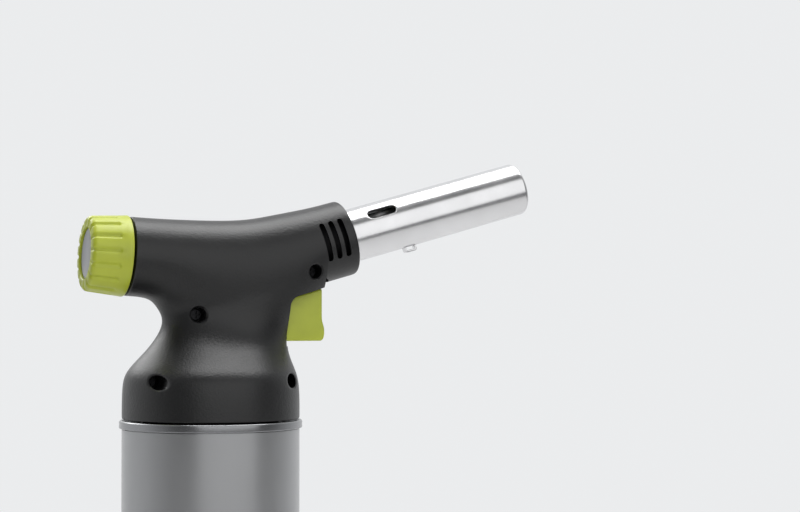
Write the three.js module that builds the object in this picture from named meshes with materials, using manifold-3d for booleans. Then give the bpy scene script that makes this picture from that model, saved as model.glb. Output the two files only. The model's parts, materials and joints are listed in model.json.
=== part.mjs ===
// Kitchen blowtorch: a plastic torch head standing on a bayonet gas cartridge.
// Sizes in millimetres and angles in degrees. X points to the burner, Z up, and the viewer's side is minus Y.
// While the pieces are made, the cartridge's axis is X = Y = 0 and the top of its upper seam is Z = 0.

import * as THREE from 'three';
import { mergeVertices } from 'three/addons/utils/BufferGeometryUtils.js';
import Module from 'manifold-3d';

const wasm = await Module();
wasm.setup();

// Fits
const fit = 0.3;
const parting = 0.16;
const overrun = 1;
const wideSpace = 400;

// Cartridge body
const canTall = 160;
const canR = 33;
const canSkin = 0.5;
const seamOut = 1;
const seamTall = 3;
const seamThick = 1.7;
const bend = 0.35;
const bottomRim = 1.4;
const topRim = 1.6;
const bottomRise = 11;
const countersink = 3.6;
const beadR = 14.2;
const beadThick = 1.8;
const beadTall = 2;
const domeTop = 4.6;

// Cartridge valve and collar
const collarR = 19;
const collarWall = 1.2;
const collarTop = 12.2;
const collarFlange = 1.2;
const collarLift = 0.9;
const notchIn = 0.4;
const notchHalfAngle = 17;
const lugCount = 3;
const cupDeep = 4;
const pedestalR = 6.4;
const pedestalTop = 9.6;
const canStemR = 1.9;
const canStemTop = 16;
const canStemBore = 0.8;
const stemCollarR = 3.2;
const stemCollarTall = 2;
const stemEase = 0.6;
const stemPlay = 1.8;
const gasketThick = 1.2;
const valveCupLong = 15;
const valveCupPlay = 1;
const valveCupFloor = 1.2;
const canSpringIn = 0.5;
const canSpringWire = 0.3;
const canSpringTurns = 4;
const tailR = 1.8;
const tailLong = 7;
const takeOffLong = 27;
const takeOffWall = 0.9;

// Bayonet ring of the head
const lugTall = 1.5;
const lugHalfAngle = 13;
const lugReach = 2.6;
const skirtThick = 1.4;
const skirtGap = 0.7;
const plateTall = 2;
const plateZ = 14.6;
const plateR = 25.2;
const plateFlat = 21.4;
const twistToUnlock = 40;
const ringScrewR = 9.6;
const ringScrewHeadR = 2.2;
const ringScrewHeadTall = 1.4;
const ringScrewShankR = 1.2;
const ringScrewShort = 0.4;
const ringScrewTurn = 30;

// Inlet
const inletR = 5.4;
const inletLow = 12.9;
const inletShoulder = 21.5;
const inletNeckR = 4;
const inletTop = 26;
const inletPlay = 0.5;
const sealThick = 1.2;
const gasWayR = 1;

// Axes of the barrel, which bends at the knee
const kneeX = 14.5;
const kneeZ = 57.7;
const rearPitch = 3.5;
const frontPitch = 15.7;
const rearReach = 46.8;
const frontReach = 39.4;

// Housing skin
const wall = 2.3;
const headGap = 0.8;
const rearR = 15;
const middleR = 15.2;
const frontR = 14.1;
const endEase = 1.8;
const endSpare = 9;
const baseR = 33;
const baseTop = 13;
const barrelStations = [37, 20, 3, 14, 29];
const gripRear = -17.2;
const gripFront = 30.5;
const gripHalf = 15.2;
const gripZ = 36;
const flareZ = 43.5;
const flareFront = 48;
const flareRear = -20.5;
const flareSlope = 0.1;
const shoulderZ = 26.5;
const shoulderRear = -23.2;
const shoulderFront = 28.3;
const shoulderHalf = 20;
const hipZ = 18.5;
const hipRear = -31.6;
const hipFront = 31.6;
const hipHalf = 30.6;

// Trigger opening and chin under the barrel
const notchX = 27;
const notchRound = 2.8;
const chinX = 41.6;
const chinZ = 49.27;
const chinDeep = 15;
const pathStepIn = 1.2;
const pathLift = 2;

// Seats inside the housing
const shelfHalf = 8;
const shelfTall = 1.8;
const shelfGap = 0.5;
const tubeSeatIn = 0.5;
const armSeatIn = 6;
const seatThick = 2;
const ribIn = 2.6;
const ribThick = 4;
const ribHalf = 8.5;

// Housing screws
const neckScrewX = -8.1;
const neckScrewZ = 39.1;
const baseScrewZ = 14.7;
const noseScrewX = 36.6;
const noseScrewZ = 55.2;
const bossR = 3.3;
const screwHeadR = 2.4;
const screwHeadTall = 1.8;
const screwShankR = 1.25;
const screwSeat = 5.5;
const screwLong = 15;

// Vents in the front of the barrel
const ventCount = 3;
const ventPitch = 3.75;
const ventWide = 2.1;
const ventFront = 4.1;
const ventUp = 35;
const ventDown = 26;

// Needle valve
const columnR = 7.4;
const columnTop = 28.5;
const riserR = 4.2;
const bodyFlangeR = 13;
const bodyFlangeTall = 2.5;
const armR = 6.6;
const crossBack = 3.4;
const stubR = 5.6;
const stubLong = 8;
const pipeIn = 5;
const chamberR = 3.4;
const seatAt = 8;
const seatCone = 2.4;
const glandGap = 1.8;
const glandLong = 3.6;
const glandFlats = 13;
const glandSpigot = 3.6;
const spindleR = 2;
const needleLong = 8;
const needleGap = 0.7;
const needleTipR = 0.5;
const spindleSquare = 2.7;
const squareLong = 9;
const spindleSpare = 2;
const ringWire = 0.5;

// Knob
const knobGap = 0.8;
const knobLong = 14.9;
const knobFrontR = 15;
const knobRearR = 13.9;
const knobRound = 2;
const knobEase = 0.5;
const knobFlutes = 16;
const fluteDeep = 0.55;
const fluteHalfAngle = 2.6;
const fluteFrom = 4.1;
const fluteRunOut = 0.8;
const fluteFade = 0.5;
const knobWall = 2;
const discR = 9.3;
const discThick = 1;
const discEase = 0.2;
const hubR = 6.4;
const hubLipR = 8.4;
const hubLip = 1.5;

// Burner
const tubeR = 10.25;
const tubeSkin = 0.7;
const tubeFrom = 26;
const tubeTo = 116.2;
const tubeLip = 1.6;
const lipTurn = 80;
const slotAt = 54.5;
const slotLong = 12;
const slotWide = 3.5;
const slotFromTop = 48;
const clipAt = 65;
const clipLong = 5;
const clipHigh = 2;
const clipWide = 2.6;
const clipThick = 0.8;
const clipBend = 1;
const clipHook = 0.6;
const pipeR = 3;
const pipeBore = 1.2;
const pipeTo = 22;
const holderFrom = 19;
const holderTo = 34;
const holderR = 4.6;
const jetTo = 38;
const jetR = 2.4;
const jetIn = 3;
const jetCone = 1.5;
const jetTipR = 1;
const jetHoleR = 0.4;
const plugFrom = 26.6;
const plugLong = 5;
const flameAt = 96;
const flameThick = 2;
const flameHole = 4;
const flamePorts = 6;
const flamePortR = 1.2;

// Ignition
const sparkOff = 7;
const insulatorFrom = 25;
const insulatorTo = 45;
const insulatorR = 1.7;
const wireR = 0.7;
const wireTo = 93;
const leadR = 0.9;
const piezoZ = 38.5;
const piezoR = 4.3;
const piezoFrom = 8.2;
const piezoTo = 26.5;
const plungerR = 2.5;
const plungerBack = 18;
const springR = 3.5;
const springWire = 0.35;
const springTurns = 6;

// Trigger
const triggerHalf = 6.2;
const triggerBack = 23;
const triggerFront = 41.8;
const triggerLow = 29.1;
const triggerLip = 1;
const triggerLipZ = 3.4;
const triggerFaceZ = 9.2;
const triggerRound = 1.8;
const triggerFace = 3;
const triggerTravel = 6;
const triggerPlay = 0.4;
const stopLip = 2;
const stopThick = 1.4;

const rad = THREE.MathUtils.degToRad;
const vec = (x, y, z) => new THREE.Vector3(x, y, z);

// Axis frames: local Z runs along the axis outwards from the knee and local X is up
const knee = vec(kneeX, 0, kneeZ);
const rearDir = vec(-Math.cos(rad(rearPitch)), 0, Math.sin(rad(rearPitch)));
const rearUp = vec(Math.sin(rad(rearPitch)), 0, Math.cos(rad(rearPitch)));
const frontDir = vec(Math.cos(rad(frontPitch)), 0, Math.sin(rad(frontPitch)));
const frontUp = vec(-Math.sin(rad(frontPitch)), 0, Math.cos(rad(frontPitch)));

function frameOf(origin, direction, up) {
  const side = direction.clone().cross(up);
  const matrix = new THREE.Matrix4().makeBasis(up, side, direction);
  return matrix.setPosition(origin);
}

const rearFrame = frameOf(knee, rearDir, rearUp);
const frontFrame = frameOf(knee, frontDir, frontUp);
const levelFrame = frameOf(vec(0, 0, piezoZ), vec(1, 0, 0), vec(0, 0, 1));
const acrossFrame = (x, z) => frameOf(vec(x, 0, z), vec(0, 1, 0), vec(0, 0, 1));

// Closed triangle meshes with outward faces
function tidy(geometry) {
  const bare = geometry.clone();
  bare.deleteAttribute('normal');
  bare.deleteAttribute('uv');
  const welded = mergeVertices(bare, 1e-4);
  const place = welded.getAttribute('position');
  const order = welded.getIndex().array;
  const a = vec(0, 0, 0);
  const b = vec(0, 0, 0);
  const c = vec(0, 0, 0);
  const kept = [];
  let volume = 0;
  for (let i = 0; i < order.length; i += 3) {
    const [p, q, r] = [order[i], order[i + 1], order[i + 2]];
    if (p === q || q === r || r === p) continue;
    a.fromBufferAttribute(place, p);
    b.fromBufferAttribute(place, q);
    c.fromBufferAttribute(place, r);
    volume += a.dot(b.cross(c));
    kept.push(p, q, r);
  }
  if (volume < 0) kept.reverse();
  welded.setIndex(kept);
  return welded;
}

function solid(geometry, matrix) {
  const placed = matrix ? geometry.clone().applyMatrix4(matrix) : geometry;
  const closed = tidy(placed);
  return new wasm.Manifold(new wasm.Mesh({
    numProp: 3,
    vertProperties: Float32Array.from(closed.getAttribute('position').array),
    triVerts: Uint32Array.from(closed.getIndex().array),
  }));
}

function geometryOf(body) {
  const mesh = body.getMesh();
  const geometry = new THREE.BufferGeometry();
  geometry.setAttribute('position', new THREE.BufferAttribute(Float32Array.from(mesh.vertProperties), 3));
  geometry.setIndex(Array.from(mesh.triVerts));
  return geometry;
}

// A profile of [radius, height] points turned about Z
function turned(profile, segments, matrix) {
  const points = profile.map(([r, z]) => new THREE.Vector2(Math.max(r, 0), z));
  const first = points[0];
  const last = points[points.length - 1];
  if (first.x > 0 || last.x > 0) points.push(first.clone());
  const lathe = new THREE.LatheGeometry(points, segments);
  lathe.rotateX(Math.PI / 2);
  return solid(lathe, matrix);
}

const rod = (r, from, to, segments, matrix) =>
  turned([[0, from], [r, from], [r, to], [0, to]], segments, matrix);

const sleeve = (inner, outer, from, to, segments, matrix) =>
  turned([[inner, from], [outer, from], [outer, to], [inner, to]], segments, matrix);

function block(x0, x1, y0, y1, z0, z1, matrix) {
  const box = new THREE.BoxGeometry(Math.abs(x1 - x0), Math.abs(y1 - y0), Math.abs(z1 - z0));
  box.translate((x0 + x1) / 2, (y0 + y1) / 2, (z0 + z1) / 2);
  return solid(box, matrix);
}

// An outline in X and Z carried across Y by a half width each way
function carried(shape, half, steps = 6) {
  const depth = 2 * half;
  const body = new THREE.ExtrudeGeometry(shape, { depth, bevelEnabled: false, curveSegments: steps });
  body.rotateX(Math.PI / 2);
  body.translate(0, half, 0);
  return solid(body);
}

// An outline in X and Y raised from one height to another
function raised(shape, from, to, matrix, steps = 6) {
  const depth = to - from;
  const body = new THREE.ExtrudeGeometry(shape, { depth, bevelEnabled: false, curveSegments: steps });
  body.translate(0, 0, from);
  return solid(body, matrix);
}

function sector(inner, outer, middle, halfAngle) {
  const shape = new THREE.Shape();
  shape.absarc(0, 0, outer, rad(middle - halfAngle), rad(middle + halfAngle), false);
  shape.absarc(0, 0, inner, rad(middle + halfAngle), rad(middle - halfAngle), true);
  shape.closePath();
  return shape;
}

const around = (count, make) => Array.from({ length: count }, (unused, i) => make((360 / count) * i, i));
const joined = (bodies) => bodies.reduce((sum, body) => sum.add(body));
const less = (body, cutters) => cutters.reduce((rest, cutter) => rest.subtract(cutter), body);

// One round of Catmull-Clark smoothing on a closed cage
function smoothed(cage) {
  const centres = cage.faces.map((face) => {
    const sum = vec(0, 0, 0);
    face.forEach((i) => sum.add(cage.points[i]));
    return sum.divideScalar(face.length);
  });
  const edges = new Map();
  const keyOf = (i, j) => Math.min(i, j) * 65536 + Math.max(i, j);
  cage.faces.forEach((face, n) => face.forEach((i, k) => {
    const j = face[(k + 1) % face.length];
    const key = keyOf(i, j);
    if (!edges.has(key)) edges.set(key, { ends: [i, j], sides: [] });
    edges.get(key).sides.push(n);
  }));
  const count = cage.points.length;
  const faceSum = cage.points.map(() => vec(0, 0, 0));
  const edgeSum = cage.points.map(() => vec(0, 0, 0));
  const valence = new Array(count).fill(0);
  cage.faces.forEach((face, n) => face.forEach((i) => {
    faceSum[i].add(centres[n]);
    valence[i] += 1;
  }));
  const edgePoints = [];
  edges.forEach((edge) => {
    const [i, j] = edge.ends;
    const middle = cage.points[i].clone().add(cage.points[j]).multiplyScalar(0.5);
    edgeSum[i].add(middle);
    edgeSum[j].add(middle);
    const sides = centres[edge.sides[0]].clone().add(centres[edge.sides[1]]).multiplyScalar(0.5);
    edge.index = count + edgePoints.length;
    edgePoints.push(middle.add(sides).multiplyScalar(0.5));
  });
  const corners = cage.points.map((point, i) => {
    const n = valence[i];
    const moved = faceSum[i].multiplyScalar(1 / (n * n));
    moved.addScaledVector(edgeSum[i], 2 / (n * n));
    return moved.addScaledVector(point, (n - 3) / n);
  });
  const faces = [];
  cage.faces.forEach((face, n) => face.forEach((i, k) => {
    const next = edges.get(keyOf(i, face[(k + 1) % face.length])).index;
    const before = edges.get(keyOf(i, face[(k + face.length - 1) % face.length])).index;
    faces.push([i, next, count + edgePoints.length + n, before]);
  }));
  return { points: [...corners, ...edgePoints, ...centres], faces };
}

function cageSolid(cage, rounds) {
  let shape = cage;
  for (let i = 0; i < rounds; i += 1) shape = smoothed(shape);
  const geometry = new THREE.BufferGeometry();
  const places = shape.points.flatMap((point) => point.toArray());
  geometry.setAttribute('position', new THREE.Float32BufferAttribute(places, 3));
  geometry.setIndex(shape.faces.flatMap(([a, b, c, d]) => [a, b, c, a, c, d]));
  return solid(geometry);
}

// How far a smoothed ring of n points draws in
const drawIn = (n) => (2 + Math.cos((2 * Math.PI) / n)) / 3;

// Cage of the housing: rings of eight along the barrel, and rings of twelve down the grip to the base
function housingCage(inset) {
  const points = [];
  const faces = [];
  const put = (point) => points.push(point) - 1;
  const [joinRear, waistRear, bendRear, bendFront, joinFront] = barrelStations;
  const stations = [
    [-rearReach - endSpare, rearR - inset],
    [-joinRear, rearR - inset],
    [-waistRear, middleR - inset],
    [-bendRear, middleR - inset],
    [bendFront, middleR - inset],
    [joinFront, frontR - inset],
    [frontReach - inset - endEase, frontR - inset],
    [frontReach - inset, frontR - inset],
    [frontReach - inset, frontR - inset - endEase],
  ];
  const firstJoin = 1;
  const lastJoin = 5;
  const rings = stations.map(([along, radius], row) => {
    const direction = along < 0 ? rearDir : frontDir;
    const up = along < 0 ? rearUp : frontUp;
    const centre = knee.clone().addScaledVector(direction, Math.abs(along));
    const wide = radius / drawIn(8);
    const ring = [];
    for (let k = 0; k < 8; k += 1) {
      const angle = rad(45 * k);
      const point = centre.clone().addScaledVector(up, wide * Math.cos(angle));
      point.y -= wide * Math.sin(angle);
      const low45 = k === 3 || k === 5;
      if (low45 && row > firstJoin && row < lastJoin) point.y = Math.sign(point.y) * (gripHalf - inset);
      ring.push(put(point));
    }
    return ring;
  });
  for (let row = 0; row + 1 < rings.length; row += 1) {
    for (let k = 0; k < 8; k += 1) {
      const opened = (k === 3 || k === 4) && row >= firstJoin && row < lastJoin;
      const n = (k + 1) % 8;
      if (!opened) faces.push([rings[row][k], rings[row][n], rings[row + 1][n], rings[row + 1][k]]);
    }
  }
  faces.push([...rings[0]].reverse());
  faces.push([...rings[rings.length - 1]]);
  const loop = [rings[lastJoin][4]];
  for (let row = lastJoin; row >= firstJoin; row -= 1) loop.push(rings[row][3]);
  loop.push(rings[firstJoin][4]);
  for (let row = firstJoin; row <= lastJoin; row += 1) loop.push(rings[row][5]);
  const levels = [
    [flareZ, flareRear, flareFront, gripHalf, flareSlope],
    [gripZ, gripRear, gripFront, gripHalf, 0],
    [shoulderZ, shoulderRear, shoulderFront, shoulderHalf, 0],
    [hipZ, hipRear, hipFront, hipHalf, 0],
    [baseTop, -baseR, baseR, baseR, 0],
    [-endSpare, -baseR, baseR, baseR, 0],
  ];
  let above = loop;
  levels.forEach(([z, rear, front, half, tilt]) => {
    const middle = (rear + front) / 2;
    const reach = ((front - rear) / 2 - inset) / drawIn(12);
    const side = (half - inset) / drawIn(12);
    const ring = [];
    for (let j = 0; j < 12; j += 1) {
      const angle = rad(30 * j);
      const x = middle + reach * Math.cos(angle);
      ring.push(put(vec(x, -side * Math.sin(angle), z + tilt * x)));
    }
    for (let j = 0; j < 12; j += 1) {
      const n = (j + 1) % 12;
      faces.push([above[j], above[n], ring[n], ring[j]]);
    }
    above = ring;
  });
  faces.push([...above]);
  return { points, faces };
}

const torch = new THREE.Group();
torch.name = 'kitchen_blowtorch';
const pieces = [];

const black = { color: 0x17181a, roughness: 0.55, metalness: 0 };
const green = { color: 0xa9b43a, roughness: 0.45, metalness: 0 };
const steel = { color: 0xc9ccd0, roughness: 0.25, metalness: 1 };
const tin = { color: 0xd5d7d8, roughness: 0.4, metalness: 0.4 };
const brass = { color: 0xb99b52, roughness: 0.35, metalness: 1 };
const rubber = { color: 0x242424, roughness: 0.8, metalness: 0 };
const pale = { color: 0xe8e6df, roughness: 0.5, metalness: 0 };

function add(name, body, look) {
  const mesh = new THREE.Mesh(geometryOf(body), new THREE.MeshStandardMaterial(look));
  mesh.name = name;
  pieces.push(mesh);
  torch.add(mesh);
}

// Cartridge: wall, bottom and top
const seamR = canR + seamOut;
const seamIn = seamR - seamThick;
const floorZ = -canTall;
add('can_wall', sleeve(
  canR - canSkin, canR, floorZ + seamTall + fit, -seamTall - fit, 40,
), tin);

const chuckR = canR - canSkin - fit;
const bottomArc = (lift, steps) => Array.from({ length: steps + 1 }, (unused, i) => {
  const part = i / steps;
  const rise = (bottomRise - countersink) * (1 - part * part);
  return [(chuckR - bottomRim) * part, floorZ + countersink + rise + lift];
});
add('can_bottom', turned([
  ...bottomArc(0, 2),
  [chuckR - canSkin, floorZ + countersink - bend],
  [seamIn, floorZ + bend],
  [seamIn + bend, floorZ],
  [seamR - bend, floorZ],
  [seamR, floorZ + bend],
  [seamR, floorZ + seamTall],
  [chuckR, floorZ + seamTall],
  [chuckR, floorZ + countersink],
  ...bottomArc(canSkin, 2).reverse(),
], 28), tin);

const domeFrom = chuckR - topRim;
add('can_top', turned([
  [beadR - beadThick, domeTop],
  [beadR, domeTop],
  [domeFrom - canSkin, -countersink - canSkin],
  [chuckR, -countersink - canSkin],
  [chuckR, -seamTall],
  [seamR, -seamTall],
  [seamR, -bend],
  [seamR - bend, 0],
  [seamIn + bend, 0],
  [seamIn, -bend],
  [chuckR - canSkin, -countersink],
  [domeFrom, -countersink],
  [beadR + canSkin, domeTop + canSkin],
  [beadR, domeTop + beadTall],
  [beadR - beadThick, domeTop + beadTall],
], 28), steel);

// Cartridge valve
const cupR = beadR - beadThick - fit;
const cupTop = domeTop + beadTall + fit;
const cupFloor = cupTop - cupDeep;
add('can_valve_cup', turned([
  [canStemR + fit, pedestalTop],
  [pedestalR, pedestalTop],
  [pedestalR, cupFloor + canSkin],
  [cupR - canSkin, cupFloor + canSkin],
  [cupR - canSkin, cupTop + canSkin],
  [beadR, cupTop + canSkin],
  [beadR, cupTop],
  [cupR, cupTop],
  [cupR, cupFloor],
  [pedestalR - canSkin, cupFloor],
  [pedestalR - canSkin, pedestalTop - canSkin],
  [canStemR + fit, pedestalTop - canSkin],
], 14), steel);

const collarIn = beadR + canSkin + fit;
const collarLow = domeTop + collarLift;
const collarNotches = around(lugCount, (turn) => raised(
  sector(collarIn + collarWall + notchIn, collarR + overrun, turn + twistToUnlock, notchHalfAngle),
  collarTop - collarFlange - overrun, collarTop + overrun, undefined, 4,
));
add('can_collar', less(turned([
  [collarIn, collarLow],
  [collarIn + collarWall, collarLow],
  [collarIn + collarWall, collarTop - collarFlange],
  [collarR, collarTop - collarFlange],
  [collarR, collarTop],
  [collarIn, collarTop],
], 28), collarNotches), tin);

const gasketTop = pedestalTop - canSkin - fit / 2;
const gasketLow = gasketTop - gasketThick;
const housingTop = gasketLow - fit / 2;
const housingLow = housingTop - valveCupLong;
const housingOut = pedestalR - canSkin - fit;
const housingIn = stemCollarR + valveCupPlay;
add('can_valve_gasket', sleeve(canStemR + fit / 2, housingOut, gasketLow, gasketTop, 10), rubber);
const stemCollarTop = housingTop - stemPlay;
const stemCollarLow = stemCollarTop - stemCollarTall;
add('can_valve_stem', turned([
  [0, stemCollarLow],
  [stemCollarR, stemCollarLow],
  [stemCollarR, stemCollarTop],
  [canStemR, stemCollarTop + stemEase],
  [canStemR, canStemTop],
  [canStemBore, canStemTop],
  [canStemBore, gasketTop],
  [0, gasketTop],
], 14), pale);
add('can_valve_housing', turned([
  [canStemBore, housingLow - tailLong],
  [tailR, housingLow - tailLong],
  [tailR, housingLow],
  [housingOut, housingLow],
  [housingOut, housingTop],
  [housingIn, housingTop],
  [housingIn, housingLow + valveCupFloor],
  [canStemBore, housingLow + valveCupFloor],
], 12), pale);
add('vapour_tube', sleeve(
  tailR + fit / 2, tailR + fit / 2 + takeOffWall,
  housingLow - fit - takeOffLong, housingLow - fit, 12,
), pale);

// A coil of five-sided wire as one unbroken tube along local Z
function coil(name, radius, wire, turns, from, to, matrix) {
  const steps = turns * 8;
  const sides = 5;
  const places = [];
  const order = [];
  const centres = [];
  for (let i = 0; i <= steps; i += 1) {
    const angle = (i / 8) * 2 * Math.PI;
    const out = vec(Math.cos(angle), Math.sin(angle), 0);
    const centre = out.clone().multiplyScalar(radius);
    centre.z = from + wire + ((to - from - 2 * wire) * i) / steps;
    centres.push(centre);
    for (let s = 0; s < sides; s += 1) {
      const turn = (s / sides) * 2 * Math.PI;
      const point = centre.clone().addScaledVector(out, wire * Math.cos(turn));
      point.z += wire * Math.sin(turn);
      places.push(...point.toArray());
    }
  }
  for (let i = 0; i < steps; i += 1) {
    for (let s = 0; s < sides; s += 1) {
      const a = i * sides + s;
      const b = i * sides + ((s + 1) % sides);
      order.push(a, b, b + sides, a, b + sides, a + sides);
    }
  }
  for (let s = 1; s + 1 < sides; s += 1) {
    const last = steps * sides;
    order.push(0, s + 1, s, last, last + s, last + s + 1);
  }
  let least = Infinity;
  centres.forEach((p, i) => centres.forEach((q, j) => {
    if (j - i >= 4) least = Math.min(least, p.distanceTo(q) - 2 * wire);
  }));
  console.log(`${name}: least gap of the wire to itself ${least.toFixed(2)} mm`);
  const geometry = new THREE.BufferGeometry();
  geometry.setAttribute('position', new THREE.Float32BufferAttribute(places, 3));
  geometry.setIndex(order);
  return solid(geometry, matrix);
}

const canSpringR = stemCollarR - canSpringIn;
add('can_valve_spring', coil(
  'can_valve_spring', canSpringR, canSpringWire, canSpringTurns,
  housingLow + valveCupFloor + fit / 2, stemCollarLow - fit / 2,
), steel);

// Bayonet ring with its three lugs, held under the valve body
const skirtIn = collarR + skirtGap;
const skirtOut = skirtIn + skirtThick;
const lugLow = collarTop - collarFlange - fit - lugTall;
const ringHoles = around(lugCount, (turn) => {
  const spot = vec(ringScrewR, 0, 0).applyAxisAngle(vec(0, 0, 1), rad(turn + ringScrewTurn));
  return new THREE.Matrix4().makeTranslation(spot.x, spot.y, 0);
});
const ringScrewHole = ringScrewShankR + fit / 2;
const bayonetPlate = less(turned([
  [inletR + fit, plateZ],
  [skirtIn, plateZ],
  [skirtIn, lugLow],
  [skirtOut, lugLow],
  [skirtOut, plateZ],
  [plateR, plateZ],
  [plateR, plateZ + plateTall],
  [inletR + fit, plateZ + plateTall],
], 28), [
  block(plateFlat, wideSpace, -wideSpace, wideSpace, plateZ - overrun, plateZ + plateTall + overrun),
  block(-wideSpace, -plateFlat, -wideSpace, wideSpace, plateZ - overrun, plateZ + plateTall + overrun),
  ...ringHoles.map((spot) => rod(ringScrewHole, plateZ - overrun, plateZ + plateTall + overrun, 8, spot)),
]);
const lugs = around(lugCount, (turn) => raised(
  sector(skirtIn - lugReach, skirtIn + skirtThick / 2, turn, lugHalfAngle),
  lugLow, lugLow + lugTall, undefined, 4,
));
add('bayonet_ring', joined([bayonetPlate, ...lugs]), steel);

const flangeLow = plateZ + plateTall + fit;
const flangeTop = flangeLow + bodyFlangeTall;
ringHoles.forEach((spot, i) => add(`bayonet_screw_${i + 1}`, turned([
  [0, plateZ - fit - ringScrewHeadTall],
  [ringScrewHeadR, plateZ - fit - ringScrewHeadTall],
  [ringScrewHeadR, plateZ - fit],
  [ringScrewShankR, plateZ - fit],
  [ringScrewShankR, flangeTop - ringScrewShort],
  [0, flangeTop - ringScrewShort],
], 10, spot), steel));

// Inlet fitting and its seal
const sealZ = canStemTop + fit;
add('inlet_stem', turned([
  [canStemR + fit, inletLow],
  [inletR, inletLow],
  [inletR, inletShoulder],
  [inletNeckR, inletShoulder],
  [inletNeckR, inletTop],
  [gasWayR, inletTop],
  [gasWayR, sealZ + sealThick + fit],
  [canStemR + fit, sealZ + sealThick + fit],
], 14), brass);
add('inlet_seal', sleeve(gasWayR, canStemR, sealZ, sealZ + sealThick, 10), rubber);

// Valve body: flange, column, arm to the knob and stub to the burner
const hubEnd = rearReach - wall - fit - hubLip;
const glandFrom = hubEnd - glandGap - glandLong;
const armRear = glandFrom - fit;
const bodySolid = joined([
  turned([[0, flangeLow], [bodyFlangeR, flangeLow], [bodyFlangeR, flangeTop], [columnR, flangeTop],
    [columnR, columnTop], [riserR, columnTop], [riserR, kneeZ], [0, kneeZ]], 14),
  rod(armR, -crossBack, armRear, 14, rearFrame),
  rod(stubR, -crossBack, stubLong, 14, frontFrame),
]);
add('valve_body', less(bodySolid, [
  rod(inletR + inletPlay, flangeLow - overrun, inletShoulder + fit, 14),
  rod(inletNeckR + inletPlay, inletShoulder - overrun, inletTop + fit, 12),
  rod(gasWayR, inletTop - overrun, kneeZ, 6),
  turned([[0, -overrun], [gasWayR, -overrun], [gasWayR, seatAt], [chamberR, seatAt + seatCone],
    [chamberR, armRear + overrun], [0, armRear + overrun]], 12, rearFrame),
  rod(gasWayR, -overrun, stubLong - pipeIn + overrun, 6, frontFrame),
  rod(pipeR + fit, stubLong - pipeIn, stubLong + overrun, 12, frontFrame),
  ...ringHoles.map((spot) => rod(ringScrewHole, flangeLow - overrun, flangeTop + overrun, 8, spot)),
]), brass);

// Gland nut, ring seal and spindle
const hexagon = new THREE.Shape(around(6, (turn) => {
  const reach = glandFlats / 2 / Math.cos(rad(30));
  return new THREE.Vector2(reach * Math.cos(rad(turn)), reach * Math.sin(rad(turn)));
}));
add('gland_nut', joined([
  raised(hexagon, glandFrom, glandFrom + glandLong, rearFrame),
  rod(chamberR - fit, glandFrom - glandSpigot, glandFrom + overrun, 12, rearFrame),
]).subtract(rod(
  spindleR + fit, glandFrom - glandSpigot - overrun, glandFrom + glandLong + overrun, 12, rearFrame,
)), brass);

const sealRing = new THREE.TorusGeometry((spindleR + chamberR) / 2, ringWire, 5, 14);
sealRing.translate(0, 0, glandFrom - glandSpigot - fit - ringWire);
add('spindle_o_ring', solid(sealRing, rearFrame), rubber);

const knobFrom = rearReach + knobGap;
const knobTo = knobFrom + knobLong;
const discFloor = knobTo - discThick - fit;
const socketEnd = discFloor - knobWall;
const needleTip = seatAt + needleGap;
const squareFrom = socketEnd - spindleSpare - squareLong;
const half = spindleSquare / 2;
add('valve_spindle', joined([
  turned([[0, needleTip], [needleTipR, needleTip], [spindleR, needleTip + needleLong],
    [spindleR, squareFrom + overrun], [0, squareFrom + overrun]], 12, rearFrame),
  block(-half, half, -half, half, squareFrom, squareFrom + squareLong, rearFrame),
]), steel);

// Knob: fluted cup with a hub that is caught behind the rear wall of the housing
function fluted(rows, count, halfAngle, matrix) {
  const pitch = 360 / count;
  const places = [];
  const order = [];
  const wide = count * 3;
  rows.forEach(([z, r, deep]) => {
    for (let i = 0; i < wide; i += 1) {
      const spot = i % 3;
      const angle = rad(Math.floor(i / 3) * pitch + (spot - 1) * halfAngle);
      const reach = spot === 1 ? r - deep : r;
      places.push(reach * Math.cos(angle), reach * Math.sin(angle), z);
    }
  });
  for (let row = 0; row + 1 < rows.length; row += 1) {
    for (let i = 0; i < wide; i += 1) {
      const a = row * wide + i;
      const b = row * wide + ((i + 1) % wide);
      order.push(a, b, b + wide, a, b + wide, a + wide);
    }
  }
  const low = places.push(0, 0, rows[0][0]) / 3 - 1;
  const high = places.push(0, 0, rows[rows.length - 1][0]) / 3 - 1;
  for (let i = 0; i < wide; i += 1) {
    const n = (i + 1) % wide;
    const top = (rows.length - 1) * wide;
    order.push(low, n, i, high, top + i, top + n);
  }
  const geometry = new THREE.BufferGeometry();
  geometry.setAttribute('position', new THREE.Float32BufferAttribute(places, 3));
  geometry.setIndex(order);
  return solid(geometry, matrix);
}

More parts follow.
